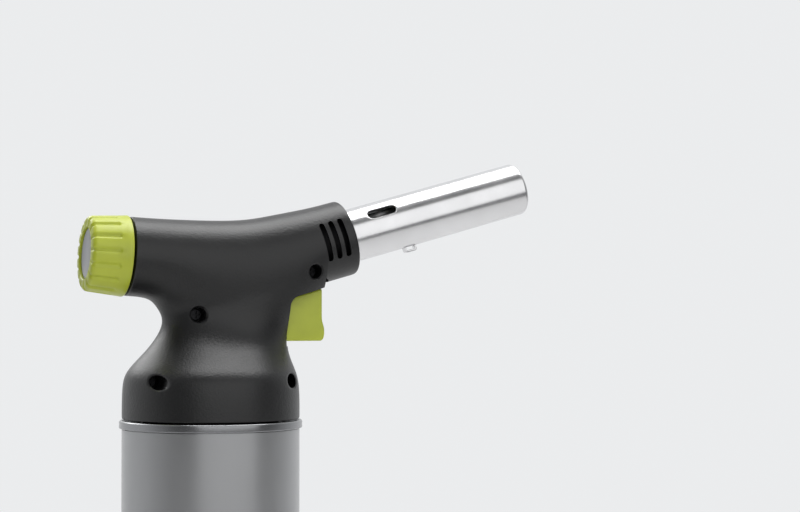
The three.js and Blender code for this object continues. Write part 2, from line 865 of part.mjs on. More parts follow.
const knobTaper = (z) => knobFrontR + ((knobRearR - knobFrontR) * z) / (knobLong - knobRound);
const roundRow = (part) => [
  knobTo - knobRound * (1 - Math.sin(rad(90 * part))),
  knobRearR - knobRound * (1 - Math.cos(rad(90 * part))),
  fluteDeep * (1 - part * fluteFade),
];
const hubSolid = turned([
  [0, hubEnd],
  [hubLipR, hubEnd],
  [hubLipR, hubEnd + hubLip],
  [hubR, hubEnd + hubLip],
  [hubR, socketEnd + overrun],
  [0, socketEnd + overrun],
], 16, rearFrame);
const knobHollow = sleeve(
  hubR, knobFrontR - knobWall, knobFrom - overrun, socketEnd, 16, rearFrame,
);
const socketHalf = half + fit;
add('gas_knob', less(joined([
  fluted([
    [knobFrom, knobFrontR - knobEase, 0],
    [knobFrom + knobEase, knobFrontR, 0],
    [knobFrom + fluteFrom, knobTaper(fluteFrom), 0],
    [knobFrom + fluteFrom + fluteRunOut, knobTaper(fluteFrom + fluteRunOut), fluteDeep],
    roundRow(0),
    roundRow(0.5),
    roundRow(1),
  ], knobFlutes, fluteHalfAngle, rearFrame).subtract(knobHollow),
  hubSolid,
]), [
  rod(discR + fit, discFloor, knobTo + overrun, 20, rearFrame),
  rod(spindleR + fit, hubEnd - overrun, squareFrom + overrun + spindleSpare, 12, rearFrame),
  block(-socketHalf, socketHalf, -socketHalf, socketHalf, squareFrom, socketEnd, rearFrame),
]), green);
add('knob_disc', turned([
  [0, discFloor + fit / 2],
  [discR, discFloor + fit / 2],
  [discR, knobTo - fit - discEase],
  [discR - discEase, knobTo - fit],
  [0, knobTo - fit],
], 20, rearFrame), steel);

// Gas pipe, jet holder, jet and plug
add('gas_pipe', sleeve(pipeBore, pipeR, stubLong - pipeIn + fit, pipeTo, 12, frontFrame), brass);
add('jet_holder', turned([
  [pipeR + fit, holderFrom],
  [holderR, holderFrom],
  [holderR, holderTo],
  [jetR + fit / 2, holderTo],
  [jetR + fit / 2, holderTo - jetIn],
  [gasWayR, holderTo - jetIn],
  [gasWayR, pipeTo + fit],
  [pipeR + fit, pipeTo + fit],
], 14, frontFrame), brass);
add('jet', turned([
  [jetHoleR, holderTo - jetIn + fit],
  [jetR, holderTo - jetIn + fit],
  [jetR, jetTo - jetCone],
  [jetTipR, jetTo],
  [jetHoleR, jetTo],
], 12, frontFrame), brass);

const tubeIn = tubeR - tubeSkin;
const besideAxis = (off) => frontFrame.clone().multiply(new THREE.Matrix4().makeTranslation(off, 0, 0));
const sparkFrame = besideAxis(sparkOff);
add('burner_plug', sleeve(
  holderR + fit, tubeIn - fit, plugFrom, plugFrom + plugLong, 20, frontFrame,
).subtract(rod(insulatorR + fit, plugFrom - overrun, plugFrom + plugLong + overrun, 10, sparkFrame)), brass);

// Burner tube with its air slots and the slot for the clip
function slotCutter(fromTop, r0, r1) {
  const shape = new THREE.Shape();
  const straight = (slotLong - slotWide) / 2;
  shape.absarc(straight, 0, slotWide / 2, -Math.PI / 2, Math.PI / 2, false);
  shape.absarc(-straight, 0, slotWide / 2, Math.PI / 2, (3 * Math.PI) / 2, false);
  const turn = new THREE.Matrix4().makeRotationZ(rad(fromTop));
  const stand = new THREE.Matrix4().makeBasis(vec(0, 0, 1), vec(0, -1, 0), vec(1, 0, 0));
  stand.setPosition(vec(0, 0, slotAt));
  return raised(shape, r0, r1, frontFrame.clone().multiply(turn).multiply(stand), 4);
}

const lipPoints = (bendR) => [0, 0.5, 1].map((part) => [
  tubeR - tubeLip + bendR * Math.cos(rad(lipTurn * part)),
  tubeTo - tubeLip + bendR * Math.sin(rad(lipTurn * part)),
]);
add('burner_tube', less(turned([
  [tubeIn, tubeFrom],
  [tubeR, tubeFrom],
  ...lipPoints(tubeLip),
  ...lipPoints(tubeLip - tubeSkin).reverse(),
], 28, frontFrame), [
  ...[0, 180].map((turn) => slotCutter(slotFromTop + turn, tubeIn - 2 * overrun, tubeR + overrun)),
  block(
    -tubeR - overrun, 2 * overrun - tubeIn, -clipWide / 2 - fit, clipWide / 2 + fit,
    clipAt - clipLong / 2 - fit, clipAt + clipLong / 2 + fit, frontFrame,
  ),
]), steel);

// Clip: a bent strap whose two legs reach in through the tube's wall
const clipOuter = new THREE.Shape();
const clipTop = tubeR + clipHigh;
const clipFoot = tubeIn - clipHook;
const clipHalf = clipLong / 2;
clipOuter.moveTo(-clipHalf, clipFoot);
clipOuter.lineTo(-clipHalf, clipTop - clipBend);
clipOuter.quadraticCurveTo(-clipHalf, clipTop, clipBend - clipHalf, clipTop);
clipOuter.lineTo(clipHalf - clipBend, clipTop);
clipOuter.quadraticCurveTo(clipHalf, clipTop, clipHalf, clipTop - clipBend);
clipOuter.lineTo(clipHalf, clipFoot);
clipOuter.lineTo(clipHalf - clipThick, clipFoot);
clipOuter.lineTo(clipHalf - clipThick, clipTop - clipThick);
clipOuter.lineTo(clipThick - clipHalf, clipTop - clipThick);
clipOuter.lineTo(clipThick - clipHalf, clipFoot);
const clipStand = new THREE.Matrix4().makeBasis(vec(0, 0, 1), vec(-1, 0, 0), vec(0, -1, 0));
clipStand.setPosition(vec(0, clipWide / 2, clipAt));
add('burner_clip', raised(
  clipOuter, 0, clipWide, frontFrame.clone().multiply(clipStand), 3,
), steel);

// Flame holder: a perforated disc inside the tube
add('flame_holder', less(sleeve(
  flameHole, tubeIn - fit, flameAt, flameAt + flameThick, 16, frontFrame,
), around(flamePorts, (turn) => rod(
  flamePortR, flameAt - overrun, flameAt + flameThick + overrun, 6,
  frontFrame.clone().multiply(new THREE.Matrix4().makeRotationZ(rad(turn + 30))).multiply(
    new THREE.Matrix4().makeTranslation((flameHole + tubeIn) / 2, 0, 0)),
))), steel);

// Spark electrode in its insulator
add('electrode_insulator', sleeve(
  wireR + fit / 2, insulatorR, insulatorFrom, insulatorTo, 10, sparkFrame,
), pale);
add('electrode', rod(wireR, insulatorFrom + overrun, wireTo, 8, sparkFrame), steel);

// Piezo spark maker, its plunger and the trigger's spring
const plungerFront = triggerFront - triggerFace - fit;
add('piezo_body', turned([
  [0, piezoFrom],
  [piezoR, piezoFrom],
  [piezoR, piezoTo],
  [plungerR + fit, piezoTo],
  [plungerR + fit, plungerBack - triggerTravel - fit],
  [0, plungerBack - triggerTravel - fit],
], 16, levelFrame), black);
add('piezo_plunger', rod(plungerR, plungerBack, plungerFront, 12, levelFrame), pale);
add('trigger_spring', coil(
  'trigger_spring', springR, springWire, springTurns, piezoTo + fit / 2, plungerFront, levelFrame,
), steel);

// Lead from the piezo's top to the insulator's rear end
const leadEnd = vec(sparkOff, 0, insulatorFrom - fit).applyMatrix4(frontFrame);
const leadPath = new THREE.CatmullRomCurve3([
  vec(piezoFrom + leadR + 0.2, 0, piezoZ + piezoR + fit),
  vec(piezoFrom + leadR + 0.2, 1.5, piezoZ + piezoR + 3),
  vec(piezoFrom + 2, armR + 2.2, kneeZ - 6),
  vec(kneeX + 1, armR + 2.4, kneeZ + 3),
  leadEnd.clone().addScaledVector(frontDir, -9).add(vec(0, 3.2, 0)),
  leadEnd.clone().addScaledVector(frontDir, -3),
  leadEnd,
]);
const leadRing = new THREE.Shape(around(6, (turn) => new THREE.Vector2(
  leadR * Math.cos(rad(turn)), leadR * Math.sin(rad(turn)),
)));
add('ignition_lead', solid(new THREE.ExtrudeGeometry(leadRing, { steps: 14, extrudePath: leadPath })), rubber);

// Trigger: a hollow block whose top runs under the barrel, with a lip that stops it in the housing
const climb = Math.tan(rad(frontPitch));
const keelZ = (x) => chinZ + (x - chinX) * climb;
const triggerTop = (x) => keelZ(x) - triggerPlay;
const triggerShape = new THREE.Shape();
triggerShape.moveTo(triggerBack, triggerLow - stopLip);
triggerShape.lineTo(triggerBack + stopThick, triggerLow - stopLip);
triggerShape.lineTo(triggerBack + stopThick, triggerLow);
triggerShape.lineTo(triggerFront + triggerLip - triggerRound, triggerLow);
const lipX = triggerFront + triggerLip;
const swellZ = triggerLow + (triggerLipZ + triggerFaceZ) / 2;
triggerShape.quadraticCurveTo(lipX, triggerLow, lipX, triggerLow + triggerLipZ);
triggerShape.bezierCurveTo(lipX, swellZ, triggerFront, swellZ, triggerFront, triggerLow + triggerFaceZ);
triggerShape.lineTo(triggerFront, triggerTop(triggerFront));
triggerShape.lineTo(triggerBack, triggerTop(triggerBack));
add('trigger', carried(triggerShape, triggerHalf).subtract(
  rod(piezoR + triggerPlay, triggerBack - overrun, triggerFront - triggerFace, 20, levelFrame),
), green);

// Housing: smoothed skin, cavity, seats, bosses and openings
const skin = cageSolid(housingCage(0), 2);
const midSkin = cageSolid(housingCage(wall / 2), 1);
const hollow = less(cageSolid(housingCage(wall), 1), [
  block(-wideSpace, wideSpace, -wideSpace, wideSpace, rearReach - wall, wideSpace, rearFrame),
]);
const endCuts = [
  block(-wideSpace, wideSpace, -wideSpace, wideSpace, rearReach, wideSpace, rearFrame),
  block(-wideSpace, wideSpace, -wideSpace, wideSpace, -wideSpace, headGap),
];

const notchShape = new THREE.Shape();
const cornerZ = keelZ(notchX);
notchShape.moveTo(notchX, triggerLow - stopLip);
notchShape.lineTo(notchX, cornerZ - notchRound);
notchShape.quadraticCurveTo(notchX, cornerZ, notchX + notchRound, keelZ(notchX + notchRound));
notchShape.lineTo(wideSpace, keelZ(wideSpace));
notchShape.lineTo(wideSpace, triggerLow - stopLip);
const notch = carried(notchShape, wideSpace);
const barrelKeep = rod(frontR, 0, wideSpace, 40, frontFrame);
const chinCut = block(
  chinX, chinX + frontReach, -wideSpace, wideSpace, chinZ - chinDeep, chinZ + chinDeep,
).subtract(barrelKeep);

const pathShape = new THREE.Shape();
const pathLow = triggerLow - fit;
const pathBack = triggerBack - triggerTravel - overrun;
const pathStep = chinX - pathStepIn;
pathShape.moveTo(pathBack, pathLow);
pathShape.lineTo(wideSpace, pathLow);
pathShape.lineTo(wideSpace, keelZ(wideSpace));
pathShape.lineTo(pathStep, keelZ(pathStep));
pathShape.lineTo(pathStep, keelZ(pathStep) + pathLift);
pathShape.lineTo(pathBack, keelZ(pathBack) + pathLift);
const triggerPath = carried(pathShape, triggerHalf + fit);

const tubeHole = rod(tubeR + fit, tubeFrom - fit, frontReach + overrun, 22, frontFrame);
const knobHole = rod(hubR + fit, rearReach - wall - overrun, rearReach + overrun, 16, rearFrame);
const skinBody = less(skin, [notch, chinCut, ...endCuts]);

const shelfIn = skirtOut + shelfGap;
const shelf = (side, low) => block(-shelfHalf, shelfHalf, side * shelfIn, side * baseR, low, low + shelfTall);
const ribFrom = piezoFrom + ribIn;
const seats = joined([
  sleeve(tubeR + fit, frontR, plugFrom + tubeSeatIn, plugFrom + tubeSeatIn + seatThick, 14, frontFrame),
  sleeve(armR + fit, middleR, armRear - armSeatIn, armRear - armSeatIn + seatThick, 14, rearFrame),
  block(ribFrom, ribFrom + ribThick, -gripHalf, gripHalf, piezoZ - ribHalf, piezoZ + ribHalf),
  ...[-1, 1].flatMap((side) => [
    shelf(side, plateZ + plateTall + fit),
    shelf(side, plateZ - fit - shelfTall),
  ]),
]);
const piezoSeat = rod(piezoR + fit, ribFrom - overrun, ribFrom + ribThick + overrun, 12, levelFrame);
const baseScrewX = plateFlat + shelfGap + bossR;
const screwSpots = [
  [neckScrewX, neckScrewZ],
  [-baseScrewX, baseScrewZ],
  [baseScrewX, baseScrewZ],
  [noseScrewX, noseScrewZ],
];
const bosses = joined(screwSpots.map(([x, z]) => rod(bossR, -baseR, baseR, 8, acrossFrame(x, z))));
const inside = less(seats.subtract(piezoSeat).add(bosses).intersect(midSkin), [notch, chinCut]);

const ventMiddle = (ventUp - ventDown) / 2;
const ventHalf = (ventUp + ventDown) / 2;
const ventSlot = (side, i) => {
  const middle = frontReach - ventFront - ventPitch * i;
  const sweep = sector(tubeR + overrun, frontR + 2 * overrun, side, ventHalf);
  return raised(sweep, middle - ventWide / 2, middle + ventWide / 2, frontFrame, 2);
};
const vents = [90 - ventMiddle, ventMiddle - 90].flatMap(
  (side) => Array.from({ length: ventCount }, (unused, i) => ventSlot(side, i)),
);

const screwHoles = screwSpots.flatMap(([x, z]) => [
  rod(screwHeadR + fit, -wideSpace, -screwSeat, 12, acrossFrame(x, z)),
  rod(screwShankR + fit, -screwSeat - overrun, 0, 8, acrossFrame(x, z)),
  rod(screwShankR + fit / 2, -overrun, screwLong - screwSeat + fit, 8, acrossFrame(x, z)),
]);

const shell = less(skinBody.subtract(hollow).add(inside), [
  triggerPath, tubeHole, knobHole, ...vents, ...screwHoles,
]);
const nearSide = block(-wideSpace, wideSpace, -wideSpace, -parting / 2, -wideSpace, wideSpace);
const farSide = block(-wideSpace, wideSpace, parting / 2, wideSpace, -wideSpace, wideSpace);
add('housing_near', shell.intersect(nearSide), black);
add('housing_far', shell.intersect(farSide), black);

screwSpots.forEach(([x, z], i) => add(`housing_screw_${i + 1}`, turned([
  [0, -screwSeat - fit / 2 - screwHeadTall],
  [screwHeadR, -screwSeat - fit / 2 - screwHeadTall],
  [screwHeadR, -screwSeat - fit / 2],
  [screwShankR, -screwSeat - fit / 2],
  [screwShankR, screwLong - screwSeat],
  [0, screwLong - screwSeat],
], 10, acrossFrame(x, z)), steel));

// The part stands on the cartridge's foot, with the middle of its footprint at the origin
const box = new THREE.Box3();
pieces.forEach((mesh) => box.expandByObject(mesh));
pieces.forEach((mesh) => {
  mesh.geometry.translate(-(box.min.x + box.max.x) / 2, -(box.min.y + box.max.y) / 2, -box.min.z);
  mesh.geometry.computeVertexNormals();
});

export default torch;
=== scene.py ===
"""Kitchen blowtorch: finished pieces, materials and a studio stage over the plain solids.

Lengths are in metres. X points to the burner, Z is up, and the viewer's side is minus Y.
"""

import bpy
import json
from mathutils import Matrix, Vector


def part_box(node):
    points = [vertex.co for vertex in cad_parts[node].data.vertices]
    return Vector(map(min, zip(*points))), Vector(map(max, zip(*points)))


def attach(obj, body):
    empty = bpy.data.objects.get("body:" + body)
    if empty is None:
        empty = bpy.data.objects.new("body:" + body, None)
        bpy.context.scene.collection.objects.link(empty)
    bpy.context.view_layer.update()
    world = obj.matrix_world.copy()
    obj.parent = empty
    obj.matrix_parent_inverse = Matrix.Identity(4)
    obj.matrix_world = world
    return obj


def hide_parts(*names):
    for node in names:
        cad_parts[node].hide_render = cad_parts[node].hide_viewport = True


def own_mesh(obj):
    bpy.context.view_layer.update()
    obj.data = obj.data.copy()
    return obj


bl_info = {
    "name": "Kitchen Blowtorch",
    "version": (1, 0, 0),
    "blender": (4, 5, 0),
    "location": "View3D > Sidebar > Blowtorch",
    "description": "Makes the finished pieces of a kitchen blowtorch over its plain solids",
    "category": "Object",
}

import json
import math

import bmesh
import bpy
from bpy.props import FloatProperty, FloatVectorProperty, IntProperty, PointerProperty
from bpy.types import Operator, Panel, PropertyGroup
from mathutils import Matrix, Vector

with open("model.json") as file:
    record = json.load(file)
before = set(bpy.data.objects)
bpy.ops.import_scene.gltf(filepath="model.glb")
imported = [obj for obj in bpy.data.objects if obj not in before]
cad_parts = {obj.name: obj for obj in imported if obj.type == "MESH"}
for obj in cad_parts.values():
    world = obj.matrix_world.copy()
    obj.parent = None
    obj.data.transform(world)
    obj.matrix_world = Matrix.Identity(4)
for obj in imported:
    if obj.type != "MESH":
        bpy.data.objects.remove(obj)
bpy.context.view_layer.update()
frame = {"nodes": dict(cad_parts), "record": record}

MM = 0.001

# Tolerances, the angle of a sharp edge and the columns of a round piece

TINY = 0.001 * MM
NEAR = 0.01 * MM
SLIVER = 0.002 * MM
SHARP = math.radians(40)
ROUND = 128

# The cartridge's axis and levels, and the barrel's two axes from its knee

AXIS_X = sum(corner.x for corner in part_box("can_wall")) / 2
FOOT_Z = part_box("can_bottom")[0].z
SEAM_Z = FOOT_Z + 160 * MM
KNEE = Vector((AXIS_X + 14.5 * MM, 0, SEAM_Z + 57.7 * MM))
REAR_PITCH = math.radians(3.5)
FRONT_PITCH = math.radians(15.7)
REAR = Vector((-math.cos(REAR_PITCH), 0, math.sin(REAR_PITCH)))
REAR_UP = Vector((math.sin(REAR_PITCH), 0, math.cos(REAR_PITCH)))
FRONT = Vector((math.cos(FRONT_PITCH), 0, math.sin(FRONT_PITCH)))
FRONT_UP = Vector((-math.sin(FRONT_PITCH), 0, math.cos(FRONT_PITCH)))


# Settings


def length(name, description, millimetres):
    return FloatProperty(
        name=name, description=description, default=millimetres * MM, unit="LENGTH"
    )


def tint(name, description, colour):
    return FloatVectorProperty(
        name=name, description=description, default=colour, subtype="COLOR", size=3, min=0, max=1
    )


def share(name, description, value):
    return FloatProperty(
        name=name, description=description, default=value, min=0, max=1, subtype="FACTOR"
    )


def angle(name, description, degrees):
    return FloatProperty(
        name=name, description=description, default=math.radians(degrees), subtype="ANGLE"
    )


def power(name, description, watts):
    return FloatProperty(name=name, description=description, default=watts, unit="POWER")


def count(name, description, value, low, high=64):
    return IntProperty(name=name, description=description, default=value, min=low, max=high)


class HousingSettings(PropertyGroup):
    wall: length("Wall", "Thickness of the moulded skin", 2.3)
    parting: length("Parting", "Gap between the two halves", 0.16)
    rear_reach: length("Rear reach", "Knee to the barrel's rear end", 46.8)
    front_reach: length("Front reach", "Knee to the barrel's front end", 40)
    rear_radius: length("Rear radius", "Radius of the barrel behind", 14.6)
    middle_radius: length("Middle radius", "Radius of the barrel at the knee", 15.2)
    front_radius: length("Front radius", "Radius of the barrel in front", 14.5)
    saddle_lift: length("Saddle lift", "Rise of the barrel's top at the knee", 1.2)
    front_ease: length("Front ease", "Rounding of the barrel's front edge", 1.8)
    rear_ease: length("Rear ease", "Rounding of the barrel's rear edge", 0.9)
    base_radius: length("Base radius", "Radius of the base over the cartridge", 33)
    base_low: length("Base gap", "Gap between the cartridge seam and the base", 0.45)
    base_ease: length("Base ease", "Rounding of the base's lower edge", 0.9)
    grip_half: length("Grip half width", "Half the width of the neck", 15.2)
    notch_round: length("Notch rounding", "Rounding of the corner behind the trigger", 2.8)
    boss_radius: length("Boss radius", "Radius of the screw bosses", 3.3)
    hole_radius: length("Screw hole", "Radius of the screw holes", 2.7)
    hole_ease: length("Hole ease", "Slope around the mouth of a screw hole", 0.6)
    screw_seat: length("Screw seat", "Depth of the screws' seats from the parting", 5.5)
    vent_count: count("Vents", "Vents on each side of the barrel", 3, 1)
    vent_pitch: length("Vent pitch", "Distance between vents", 3.75)
    vent_wide: length("Vent width", "Width of a vent", 2.1)
    vent_front: length("Vent margin", "First vent's distance from the front end", 4.7)
    vent_skin: length("Vent skin", "Thickness of the skin at the vents", 1.1)
    smoothness: count("Smoothness", "Rounds of smoothing on the skin", 4, 2, 5)
    colour: tint("Colour", "Moulded black", (0.0068, 0.007, 0.0075))
    roughness: share("Roughness", "Roughness of the moulded skin", 0.36)


class KnobSettings(PropertyGroup):
    gap: length("Gap", "Gap between the housing and the knob", 0.8)
    long: length("Length", "Length of the knob", 14.9)
    front_radius: length("Front radius", "Radius beside the housing", 15)
    rear_radius: length("Rear radius", "Radius at the rear", 13.9)
    rounding: length("Rounding", "Rounding of the rear rim", 2)
    flutes: count("Flutes", "Grooves around the knob", 16, 6)
    flute_deep: length("Flute depth", "Depth of a groove", 0.74)
    flute_from: length("Flute start", "Plain band before the grooves", 4.1)
    flute_turn: angle("Flute turn", "Turn of the grooves about the knob", 5.2)
    hub_radius: length("Hub radius", "Radius of the hub that enters the housing", 6.4)
    disc_radius: length("Disc radius", "Radius of the disc on the end", 9.3)
    disc_thick: length("Disc thickness", "Thickness of the disc", 1)
    recess: length("Recess", "Depth of the disc under the rim", 0.85)
    clearance: length("Clearance", "Play around the disc", 0.3)
    colour: tint("Colour", "Yellow-green plastic", (0.49, 0.555, 0.042))
    disc_colour: tint("Disc colour", "Brushed silver", (0.28, 0.285, 0.295))


class BurnerSettings(PropertyGroup):
    radius: length("Radius", "Outer radius of the burner tube", 10.25)
    skin: length("Wall", "Thickness of the tube", 0.7)
    start: length("Start", "Knee to the tube's rear end", 26)
    reach: length("Reach", "Knee to the tube's mouth", 116.2)
    lip: length("Lip", "Rounding of the mouth", 1.6)
    slot_at: length("Slot place", "Knee to the middle of the air slots", 54.5)
    slot_long: length("Slot length", "Length of an air slot", 12)
    slot_wide: length("Slot width", "Width of an air slot", 4)
    slot_turn: angle("Slot turn", "Angle of the air slots from the top", 52)
    clip_at: length("Clip place", "Knee to the middle of the clip", 65)
    clip_long: length("Clip length", "Length of the clip's slot", 5.6)
    clip_wide: length("Clip width", "Width of the clip's slot", 3.2)
    colour: tint("Colour", "Polished steel", (0.74, 0.74, 0.75))


class CartridgeSettings(PropertyGroup):
    radius: length("Radius", "Radius of the can's wall", 33)
    skin: length("Sheet", "Thickness of the sheet", 0.5)
    seam_radius: length("Seam radius", "Outer radius of the seams", 34)
    seam_tall: length("Seam height", "Height of a seam", 3)
    seam_thick: length("Seam thickness", "Thickness of a seam", 1.7)
    colour: tint("Lacquer", "Light grey lacquer", (0.34, 0.344, 0.352))
    tin: tint("Tinplate", "Bright tinplate", (0.28, 0.284, 0.292))


class StageSettings(PropertyGroup):
    floor_radius: length("Floor radius", "Radius of the floor", 620)
    floor_drop: length("Floor drop", "Depth of the floor under the cartridge", 0.4)
    floor_colour: tint("Floor", "Pale floor", (0.8, 0.8, 0.8))
    backdrop: tint("Backdrop", "Pale backdrop", (0.83, 0.84, 0.85))
    key: power("Key light", "Power of the overhead softbox", 10.5)
    fill: power("Fill light", "Power of the front softbox", 10)
    rim: power("Rim light", "Power of the softbox behind the knob", 5)
    ambient: share("Ambient", "Strength of the surrounding light", 0.14)
    behind: share("Behind", "Strength of the reflections from behind the camera", 0.05)


# Shader strands


class Strand:
    """One output of a shader node. Arithmetic on strands adds Math nodes."""

    def __init__(self, graph, socket):
        self.graph = graph
        self.socket = socket

    def math(self, operation, first, second):
        return self.graph.node("Math", {0: first, 1: second}, operation=operation)

    def __add__(self, other):
        return self.math("ADD", self, other)

    def __radd__(self, other):
        return self.math("ADD", other, self)

    def __mul__(self, other):
        return self.math("MULTIPLY", self, other)

    def __rmul__(self, other):
        return self.math("MULTIPLY", other, self)

    def __pow__(self, other):
        return self.math("POWER", self, other)

    def over(self, edge):
        return self.math("GREATER_THAN", self, edge)


class Graph:
    """The nodes of a material or of the surround."""

    def __init__(self, tree):
        self.tree = tree

    def node(self, kind, inputs=None, output=0, **settings):
        made = self.tree.nodes.new("ShaderNode" + kind)
        for key, value in settings.items():
            if key == "stops":
                for stop, (position, level) in zip(made.color_ramp.elements, value):
                    stop.position = position
                    stop.color = (level, level, level, 1)
            else:
                setattr(made, key, value)
        for key, value in (inputs or {}).items():
            self.plug(made.inputs[key], value)
        return Strand(self, made.outputs[output])

    def plug(self, socket, value):
        if isinstance(value, Strand):
            self.tree.links.new(value.socket, socket)
        else:
            socket.default_value = value


class Coat(Graph):
    """A material and the nodes that make its finish."""

    def __init__(self, name, **constants):
        self.material = bpy.data.materials.new(name)
        self.material.use_nodes = True
        super().__init__(self.material.node_tree)
        self.shader = self.tree.nodes["Principled BSDF"]
        self.set(**constants)

    def set(self, **sockets):
        for key, value in sockets.items():
            self.plug(self.shader.inputs[key.replace("_", " ")], value)

    def place(self):
        return self.node("TexCoord", output="Object")

    def turned_place(self, matrix):
        """Object coordinates seen from a piece's own axis."""
        back = matrix.inverted()
        return self.node(
            "Mapping",
            {"Vector": self.place(), "Location": back.translation, "Rotation": back.to_euler()},
        )

    def parts(self, vector):
        """The three numbers of a vector."""
        split = self.node("SeparateXYZ", {"Vector": vector})
        outputs = split.socket.node.outputs
        return [Strand(self, outputs[i]) for i in range(3)]

    def noise(self, vector, scale, detail, roughness):
        return self.node(
            "TexNoise",
            {"Vector": vector, "Scale": scale, "Detail": detail, "Roughness": roughness},
            "Fac",
        )

    def ramp(self, value, low, high):
        return self.node("ValToRGB", {"Fac": value}, "Color", stops=[(low, 0), (high, 1)])

    def blend(self, factor, first, second):
        colours = {0: factor, 6: (*first, 1), 7: (*second, 1)}
        return self.node("Mix", colours, 2, data_type="RGBA")

    def bump(self, height, depth, strength):
        relief = {"Height": height, "Distance": depth, "Strength": strength}
        return self.node("Bump", relief, "Normal")


def shaded(colour, amount):
    return tuple(max(0.0, min(1.0, channel * amount)) for channel in colour)


def moulded(name, colour, roughness, grain, deep, shine=0.4):
    """Moulded plastic with a fine even grain and a slight haze."""
    coat = Coat(name, Specular_IOR_Level=shine)
    place = coat.place()
    fine = coat.noise(place, grain, 2.0, 0.55)
    pits = coat.node("TexVoronoi", {"Vector": place, "Scale": grain * 0.6}, "Distance")
    haze = coat.ramp(coat.noise(place, 45, 3.0, 0.6), 0.3, 0.7)
    coat.set(
        Base_Color=coat.blend(haze, shaded(colour, 0.9), shaded(colour, 1.12)),
        Roughness=roughness - 0.03 + 0.07 * haze + 0.05 * fine,
        Normal=coat.bump(fine * 0.65 + pits * 0.35, deep, 0.55),
    )
    return coat.material


def drawn_metal(name, colour, roughness, matrix, along=True):
    """Metal with fine lines, along its axis or around it."""
    coat = Coat(name, Metallic=1.0)
    x, y, z = coat.parts(coat.turned_place(matrix))
    radius = (x * x + y * y) ** 0.5
    turn = coat.node("Math", {0: y, 1: x}, operation="ARCTAN2")
    around, outward, upward = (260.0, 900.0, 55.0) if along else (6.0, 9000.0, 5200.0)
    lines = coat.node("CombineXYZ", {"X": turn * around, "Y": radius * outward, "Z": z * upward})
    scratch = coat.noise(lines, 1.0, 3.0, 0.65)
    stain = coat.ramp(coat.noise(coat.place(), 70, 4.0, 0.6), 0.35, 0.75)
    coat.set(
        Base_Color=coat.blend(stain, shaded(colour, 0.93), shaded(colour, 1.04)),
        Roughness=roughness + 0.05 * scratch + 0.05 * stain,
        Normal=coat.bump(scratch, 0.012 * MM, 0.5),
    )
    return coat.material


def plain_metal(name, colour, roughness):
    """Turned or plated metal with a faint mottle."""
    coat = Coat(name, Metallic=1.0)
    mottle = coat.noise(coat.place(), 320, 4.0, 0.6)
    coat.set(
        Base_Color=coat.blend(mottle, shaded(colour, 0.88), shaded(colour, 1.08)),
        Roughness=roughness - 0.05 + 0.12 * mottle,
        Normal=coat.bump(mottle, 0.02 * MM, 0.4),
    )
    return coat.material


# Work on meshes


def hold(obj):
    """Selects one piece alone and makes it active."""
    bpy.ops.object.select_all(action="DESELECT")
    obj.select_set(True)
    bpy.context.view_layer.objects.active = obj


def placed(name, data):
    """A new object in the scene."""
    obj = bpy.data.objects.new(name, data)
    bpy.context.scene.collection.objects.link(obj)
    return obj


def started(name):
    """Names the primitive just added and fixes its place in its mesh."""
    obj = bpy.context.active_object
    obj.name = name
    obj.data.name = name
    hold(obj)
    bpy.ops.object.transform_apply()
    return obj


def edit(obj, mode="VERT"):
    hold(obj)
    bpy.ops.object.mode_set(mode="EDIT")
    bpy.ops.mesh.select_mode(type=mode)


def select_all():
    bpy.ops.mesh.select_all(action="SELECT")


def done():
    bpy.ops.object.mode_set(mode="OBJECT")


def pick(obj, kind, wanted):
    """Selects the points, edges or faces in edit mode whose middle passes a test."""
    bpy.ops.mesh.select_all(action="DESELECT")
    bpy.ops.mesh.select_mode(type=kind[:-1].upper())
    mesh = bmesh.from_edit_mesh(obj.data)
    for part in getattr(mesh, kind):
        corners = [part] if kind == "verts" else part.verts
        if wanted(sum((corner.co for corner in corners), Vector()) / len(corners)):
            part.select_set(True)
    mesh.select_flush_mode()
    bmesh.update_edit_mesh(obj.data)


def applied(obj, kind, **settings):
    """Adds a modifier, sets it and applies it."""
    modifier = obj.modifiers.new(kind.title(), kind)
    for key, value in settings.items():
        setattr(modifier, key, value)
    hold(obj)
    bpy.ops.object.modifier_apply(modifier=modifier.name)
    return obj


def cut(obj, *cutters, operation="DIFFERENCE"):
    for cutter in cutters:
        applied(obj, "BOOLEAN", operation=operation, solver="MANIFOLD", object=cutter)
        bpy.data.objects.remove(cutter)
    return obj


def eased(obj, width, segments):
    """Rounds the sharp edges of a piece."""
    return applied(
        obj, "BEVEL", width=width, segments=segments, limit_method="ANGLE", angle_limit=SHARP
    )


def joined(objs):
    """Joins separate cutters into one object."""
    hold(objs[0])
    for obj in objs:
        obj.select_set(True)
    bpy.ops.object.join()
    return objs[0]


def cleaned(obj):
    """Splits a cut piece into triangles and takes out the slivers that the cuts left."""
    edit(obj)
    select_all()
    bpy.ops.mesh.quads_convert_to_tris(quad_method="BEAUTY", ngon_method="BEAUTY")
    select_all()
    bpy.ops.mesh.dissolve_degenerate(threshold=SLIVER)
    done()
    return obj


def smooth(obj, degrees=32):
    hold(obj)
    bpy.ops.object.shade_smooth_by_angle(angle=math.radians(degrees))
    return obj


def along_axis(origin, direction, up):
    """A frame with Z along a direction and X up."""
    side = direction.cross(up)
    matrix = Matrix((up, side, direction)).transposed().to_4x4()
    matrix.translation = origin
    return matrix


REAR_FRAME = along_axis(KNEE, REAR, REAR_UP)
FRONT_FRAME = along_axis(KNEE, FRONT, FRONT_UP)
CAN_FRAME = Matrix.Translation((AXIS_X, 0, FOOT_Z))


def settled(obj, matrix):
    """Moves a piece that was made at the origin to its place, and fixes it there."""
    obj.matrix_world = matrix
    hold(obj)
    bpy.ops.object.transform_apply()
    return obj


